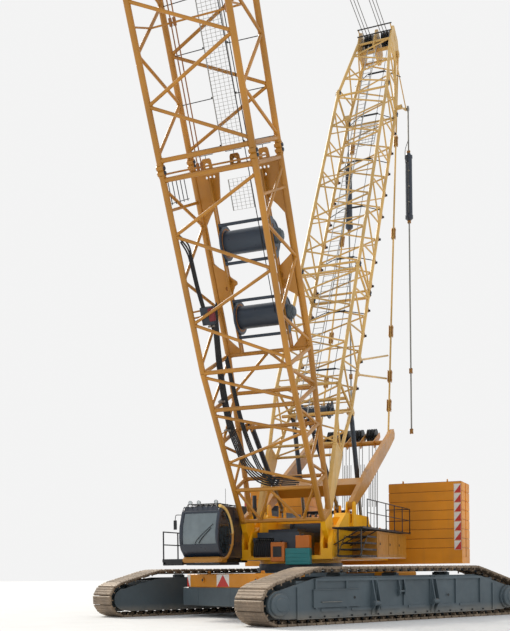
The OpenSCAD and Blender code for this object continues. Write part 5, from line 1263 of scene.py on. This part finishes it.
def make_cab():
    s = Shape("navy")
    y0, y1 = CAB_Y
    a, b = y0 + 0.06, y1 - 0.06
    s.wall(CAB_SIDE, b, y1, [SIDE_PANE])
    s.wall(CAB_SIDE, y0, a, [DOOR_HOLE, RIGHT_PANE])
    for x, z in ((3.52, 2.26), (3.58, 4.15)):
        s.box((1.75, a, z), (x, b, z + 0.06))
    s.rib(rect(a, 2.32, b, 4.15), 1.75, 1.81, [rect(a + 0.1, 3.16, b - 0.1, 3.96)])
    s.plate([(3.5, 2.26), (3.88, 2.59), (3.95, 2.76), (3.9, 2.77), (3.83, 2.62), (3.5, 2.32)], a, b)
    s.plate([(3.76, 3.96), (3.58, 4.21), (3.54, 4.15), (3.7, 3.94)], a, b)
    for y in (y0 + 0.067, y1 - 0.045):
        s.pipe([(x, y, z) for x, z in CAB_BAR], 0.062, 12, 0.28)
        s.tube((1.8, y, 2.3), (1.8, y, 4.17), 0.06, 12)
    s.across(3.72, 3.98, y0 + 0.03, y1 - 0.03, 0.05, 12)
    s.across(3.92, 2.76, y0 + 0.03, y1 - 0.03, 0.035, 12)
    # Rail that the door hangs on, and a strip inside below its pane
    s.box((1.38, y0 - 0.07, 4.08), (3.06, y0, 4.12), 0.006)
    s.box((1.78, y0 + 0.05, 2.62), (2.65, y0 + 0.062, 2.64))
    # Seams and hinges on the left wall
    for x in (1.95, 2.5):
        s.box((x, y1, 2.4), (x + 0.012, y1 + 0.006, 4.05))
    for z in (2.7, 3.3, 3.8):
        s.box((2.44, y1, z), (2.52, y1 + 0.014, z + 0.09), 0.004)
    s.make("cab_frame", "upper", "cab_shell")

    s = Shape("glass")
    s.wall(grown(SIDE_PANE, 3.3), y1 - 0.04, y1 - 0.03)
    s.wall(grown(RIGHT_PANE, 3.4), y0 + 0.03, y0 + 0.04)
    s.rib(rect(a + 0.09, 3.15, b - 0.09, 3.97), 1.775, 1.787)
    # The windscreen's pale colour is a painted reflection
    s.use("screen").plate(WINDSCREEN + moved(WINDSCREEN[::-1], -0.012, 0), a, b)
    s.make("cab_panes", "upper", "cab_glass")

    s = Shape("yellow")
    s.box((3.7, y0 + 0.02, 2.11), (3.84, y1 + 0.02, 2.32), 0.06)
    s.box((3.2, b, 2.11), (3.8, y1 + 0.04, 2.31), 0.04)
    s.pipe([(x, y1 - 0.02, z) for x, z in [*ARCH[3:], (3.76, 2.2)]], 0.078, 14, 0.22)
    s.use("pale").pipe([(x, y1 - 0.01, z) for x, z in ARCH[:5]], 0.062, 14, 0.35)
    s.use("dark").box((1.8, y0 + 0.1, 2.02), (3.66, y1 - 0.08, 2.11), 0.02)
    s.use("black").box((1.3, y0 - 0.84, 2.06), (3.74, y0 - 0.7, 2.2), 0.02)
    s.box((3.6, y0 - 0.84, 2.02), (3.74, y0 - 0.01, 2.2), 0.02)
    # Roof: plate, guard, lamps, aerial
    s.box((1.9, y0 + 0.12, 4.21), (3.3, y1 - 0.12, 4.24), 0.01)
    for k in range(7):
        y = y0 + 0.15 + k * 0.21
        s.pipe([(2.0, y, 4.3), (3.5, y, 4.3), (3.72, y, 4.16)], 0.014, 8, 0.1)
    for x in (2.1, 2.8, 3.45):
        s.across(x, 4.3, y0 + 0.1, y1 - 0.1, 0.018, 8)
        for y in (y0 + 0.12, y1 - 0.12):
            s.tube((x, y, 4.2), (x, y, 4.3), 0.016, 8)
    for y in (y0 + 0.25, y0 + 0.6, y1 - 0.25):
        s.use("black").lathe((3.5, y, 4.36), FORWARD, [(0, -0.06), (0.05, -0.05), (0.075, 0.02), (0.075, 0.05)], 16)
        s.tube((3.48, y, 4.29), (3.48, y, 4.33), 0.012, 6)
        s.use("lamp").lathe((3.54, y, 4.36), FORWARD, [(0.07, 0), (0.05, 0.012), (0, 0.018)], 16)
    s.use("black").tube((2.3, -2.2, 4.22), (2.3, -2.2, 4.95), 0.008, 6)
    # Wipers, right mirror, and handrail on the left wall
    s.pipe([(3.95, -2.72, 2.8), (3.985, -2.62, 2.95), (3.975, -2.3, 3.24), (3.93, -1.98, 3.52)], 0.012, 6, 0.02)
    s.pipe([(3.96, -2.56, 2.82), (3.99, -2.4, 3.02), (3.95, -2.05, 3.38)], 0.016, 6, 0.02)
    s.pipe([(3.75, y0 + 0.02, 3.9), (3.9, y0 - 0.18, 3.9), (3.92, y0 - 0.2, 3.7)], 0.014, 8, 0.05)
    s.box((3.9, y0 - 0.27, 3.35), (3.93, y0 - 0.13, 3.7), 0.015)
    # Mirror glass in the same pale colour: a painted reflection
    s.use("screen").box((3.894, y0 - 0.26, 3.37), (3.9, y0 - 0.14, 3.68))
    s.use("black").pipe([(2.5, y1 + e, z) for e, z in ((-0.005, 2.7), (0.03, 2.75), (0.03, 3.4), (-0.005, 3.45))],
                        0.014, 8, 0.04)
    s.make("cab_trim", "upper")


# ---- deck
WALK_X, WALK_Y, WALK_Z = (-5.9, 1.65), (1.86, 3.05), 3.38
GUARD_Y, GUARD_TOP = 0.95, 4.28


def make_walkway():
    s = Shape("yellow")
    (x0, x1), (y0, y1), z = WALK_X, WALK_Y, WALK_Z
    s.box((-5.7, y0, 2.26), (-0.9, 2.9, 3.3), 0.025)
    for x in (-5.6, -4.05, -2.5):
        s.use("yellow").box((x, 2.9, 2.36), (x + 1.45, 2.916, 3.22), 0.01)
        s.use("black").box((x + 1.25, 2.914, 2.75), (x + 1.33, 2.935, 2.85), 0.006)
    grating(s, x0, y0, x1, y1, z, 0.14)
    end, side = x0 + 0.03, y1 - 0.03
    railing(s, (end, side, z), (0.95, side, z), 6)
    railing(s, (end, y0 + 0.1, z), (end, side, z), 2)
    for x in (-0.6, 0.6, 1.5):
        s.tube((x, y1 - 0.06, z - 0.05), (x, y0 + 0.01, z - 0.65), 0.022, 8)
        s.across(x, z - 0.04, y1 - 0.06, y0, 0.022, 8)
    for i in range(4):
        grating(s, -0.9, y0 + 0.15, 1.5 - i * 0.35, y0 + 1.0, 2.33 + i * 0.25, 0.2)
    for y in (y0 + 0.12, y0 + 1.02):
        s.tube((1.5, y, 2.3), (0.42, y, 3.1), 0.018, 8)
        s.box((1.3, y - 0.02, 2.299), (1.36, y + 0.02, 3.321))
    s.make("left_walkway", "upper", "walkway_left")


def make_deck():
    s = Shape("teal")
    s.box((1.68, 0.08, 2.0), (1.95, 1.06, 2.62), 0.02)
    for z in (2.12, 2.27, 2.42):
        s.box((1.94, 0.14, z), (1.962, 1.0, z + 0.03), 0.004)
    s.use("orange").box((1.66, -0.5, 2.12), (1.98, 0.06, 2.86), 0.02)
    s.box((1.62, 0.48, 2.62), (1.9, 1.03, 3.1), 0.02)
    s.use("black")
    for y, z in ((-0.22, 2.87), (0.75, 3.1)):
        s.lathe((1.8, y, z - 0.01), UP, [(0.09, 0), (0.09, 0.05), (0.06, 0.06), (0, 0.06)], 18)
    s.box((1.975, -0.4, 2.3), (1.99, -0.05, 2.7), 0.004)
    # Pipes and unions over the front edge of the deck
    for i in range(9):
        x, y = 0.02 * (i % 3), -1.25 + i * 0.085
        s.use("hose").pipe([(1.7, y, 2.32), (1.82 + x, y, 2.34), (1.86 + x, y + 0.03, 2.75), (1.66, y + 0.06, 2.98)],
                           0.026, 8, 0.12)
        s.use("steel").tube((1.68, y, 2.32), (1.73, y, 2.32), 0.034, 8)
        s.tube((1.68, y + 0.06, 2.97), (1.64, y + 0.06, 3.0), 0.034, 8)
    s.use("dark").box((1.5, -1.35, 2.9), (1.68, -0.45, 3.05), 0.015)
    s.box((1.6, -1.32, 2.35), (1.66, -0.5, 2.9), 0.01)
    # Guard frame and pipes over the deck winches
    top = GUARD_TOP
    for x in (-3.0, -3.6, -4.0):
        for y in (-GUARD_Y, GUARD_Y):
            s.tube((x, y, 3.3), (x, y, top), 0.035, 10)
        s.across(x, top, -GUARD_Y, GUARD_Y, 0.035, 10)
    for y in (-GUARD_Y, 0.0, GUARD_Y):
        s.tube((-3.0, y, top), (-4.0, y, top), 0.03, 10)
    s.use("hose")
    for i in range(6):
        near, far = -0.7 + i * 0.25, -0.6 + i * 0.22
        s.pipe([(-3.1, near, 3.3), (-3.12, near, top - 0.08), (-3.8, far, top - 0.06), (-3.9, far, 3.4)], 0.028, 8, 0.2)
    s.make("deck_fittings", "upper")


# ---- couplers of the stays and pendants, and ends of ropes
STAY_TOP, STAY_LOW = Vector((-13.143, 0.96, 28.642)), Vector((-7.495, 1.675, 8.005))
# Top of the left pendant, and how far below it the cylinder starts
PENDANT, CYLINDER_AT = Vector((-12.518, 1.6, 25.403)), 2.4
CYLINDER = [(0, -0.1), (0.1, -0.1), (0.13, 0.0), (0.2, 0.03), (0.2, 0.16), (0.175, 0.18), (0.175, 3.05), (0.2, 3.08),
            (0.2, 3.24), (0.13, 3.3), (0.1, 3.34), (0, 3.34)]
# The tackle's pin at the boom's head, and the radius of its ropes
TACKLE_PIN, ROPE_R = (BOOM_LEN, 0, 0.8), 0.017
# Piece, body, both ends along the tackle, places across, height
FALL_ENDS = [("mast_fall_ends", "luff_falls", 20.28, 21.15, (0.28, 0.44, 0.6), 0),
             ("block_fall_ends", "luff_pendants", 8.45, 9.02, (0.2, 0.36, 0.52), 0.15)]


def coupler(s, a, b, w):
    """A coupler between two points: side plates with a pin at each end."""
    u, side = (b - a).normalized(), Vector(LEFT)
    l = (b - a).length
    with s.inside(axes(a, u, side, u.cross(side))):
        for k in BOTH_WAYS:
            s.box((0, k * w * 0.55, -w), (l, k * w * 0.95, w), w * 0.25)
        s.box((l * 0.2, -w * 0.6, -w * 0.8), (l * 0.8, w * 0.6, w * 0.8), w * 0.2)
        for q in (0.18, 0.82):
            s.across(l * q, 0, -w * 1.15, w * 1.15, w * 0.42, 14, w * 0.08)


def make_couplers():
    s = Shape("gold")
    d = STAY_LOW - STAY_TOP
    u = d.normalized()

    def stay():
        for t in (0.25, 0.5, 0.75, 0.86, 0.93):
            p = STAY_TOP + d * t
            coupler(s, p - u * 0.3, p + u * 0.3, 0.1)
    s.both(stay)
    s.make("stay_couplers", "rear_stay")

    s = Shape("navy")
    x, y, top = PENDANT
    p = Vector((x, y, top - CYLINDER_AT))

    def near(*points):
        return [p + Vector(q) for q in points]

    def pendant():
        s.use("steel").across(x, top, y - 0.06, y + 0.04, 0.13, 24, 0.01)
        for z, l in ((0, 2.25), (5.7, 7.7), (13.5, 3.0)):
            s.tube((x, y, top - z), (x, y, top - z - l), 0.04, 14)
        s.use("navy").lathe(p, DOWN, CYLINDER, 32)
        s.bolts(p + Vector((0, 0, -3.22)), DOWN, 0.165, 10, 0.014, 0.02)
        s.use("hose").pipe(near((0.16, 0, -3.0), (0.27, 0.05, -3.05), (0.27, 0.05, -0.5), (0.16, 0.02, -0.35)),
                           0.02, 8, 0.1)
        s.pipe(near((0.16, -0.03, -0.3), (0.38, -0.06, -0.6), (0.42, -0.1, 0.1), (0.05, 0, 0.75)), 0.016, 8, 0.3)
        s.use("steel")
        for z in (-0.9, -1.7, -2.5):
            s.box(*near((0.16, 0.02, z), (0.3, 0.1, z + 0.04)), 0.004)
        s.use("gold")
        for z in (2.15, 5.6, 13.3, 16.4):
            c = Vector((x, y, top - z))
            coupler(s, c, c - Vector((0, 0, 0.28)), 0.08)
    s.both(pendant)
    s.make("lift_pendants", "heavy_lift", "heavy_lift_pendants")


def make_fall_ends():
    """Longer ends of the luffing falls, so that both sets still meet when the boom is low."""
    a, b = MAST @ Vector((MAST_LEN, 0, 0)), BOOM @ Vector(TACKLE_PIN)
    tackle = frame_at(a.x, a.z, math.degrees(math.atan2(b.z - a.z, b.x - a.x)))
    for name, body, start, end, lanes, z in FALL_ENDS:
        s = Shape("rope", tackle)
        for y, k in product(lanes, BOTH_WAYS):
            s.tube((start, k * y, z), (end, k * y, z), ROPE_R, 6)
        s.make(name, body)


make_boom()
make_mast()
make_winches()
make_head()
make_boom_fittings()
make_mast_fittings()
make_mast_winch()
make_track("track_left", 1)
make_track("track_right", -1)
make_track_fittings()
make_ballast()
make_stacks()
make_cab()
make_walkway()
make_deck()
make_couplers()
make_fall_ends()
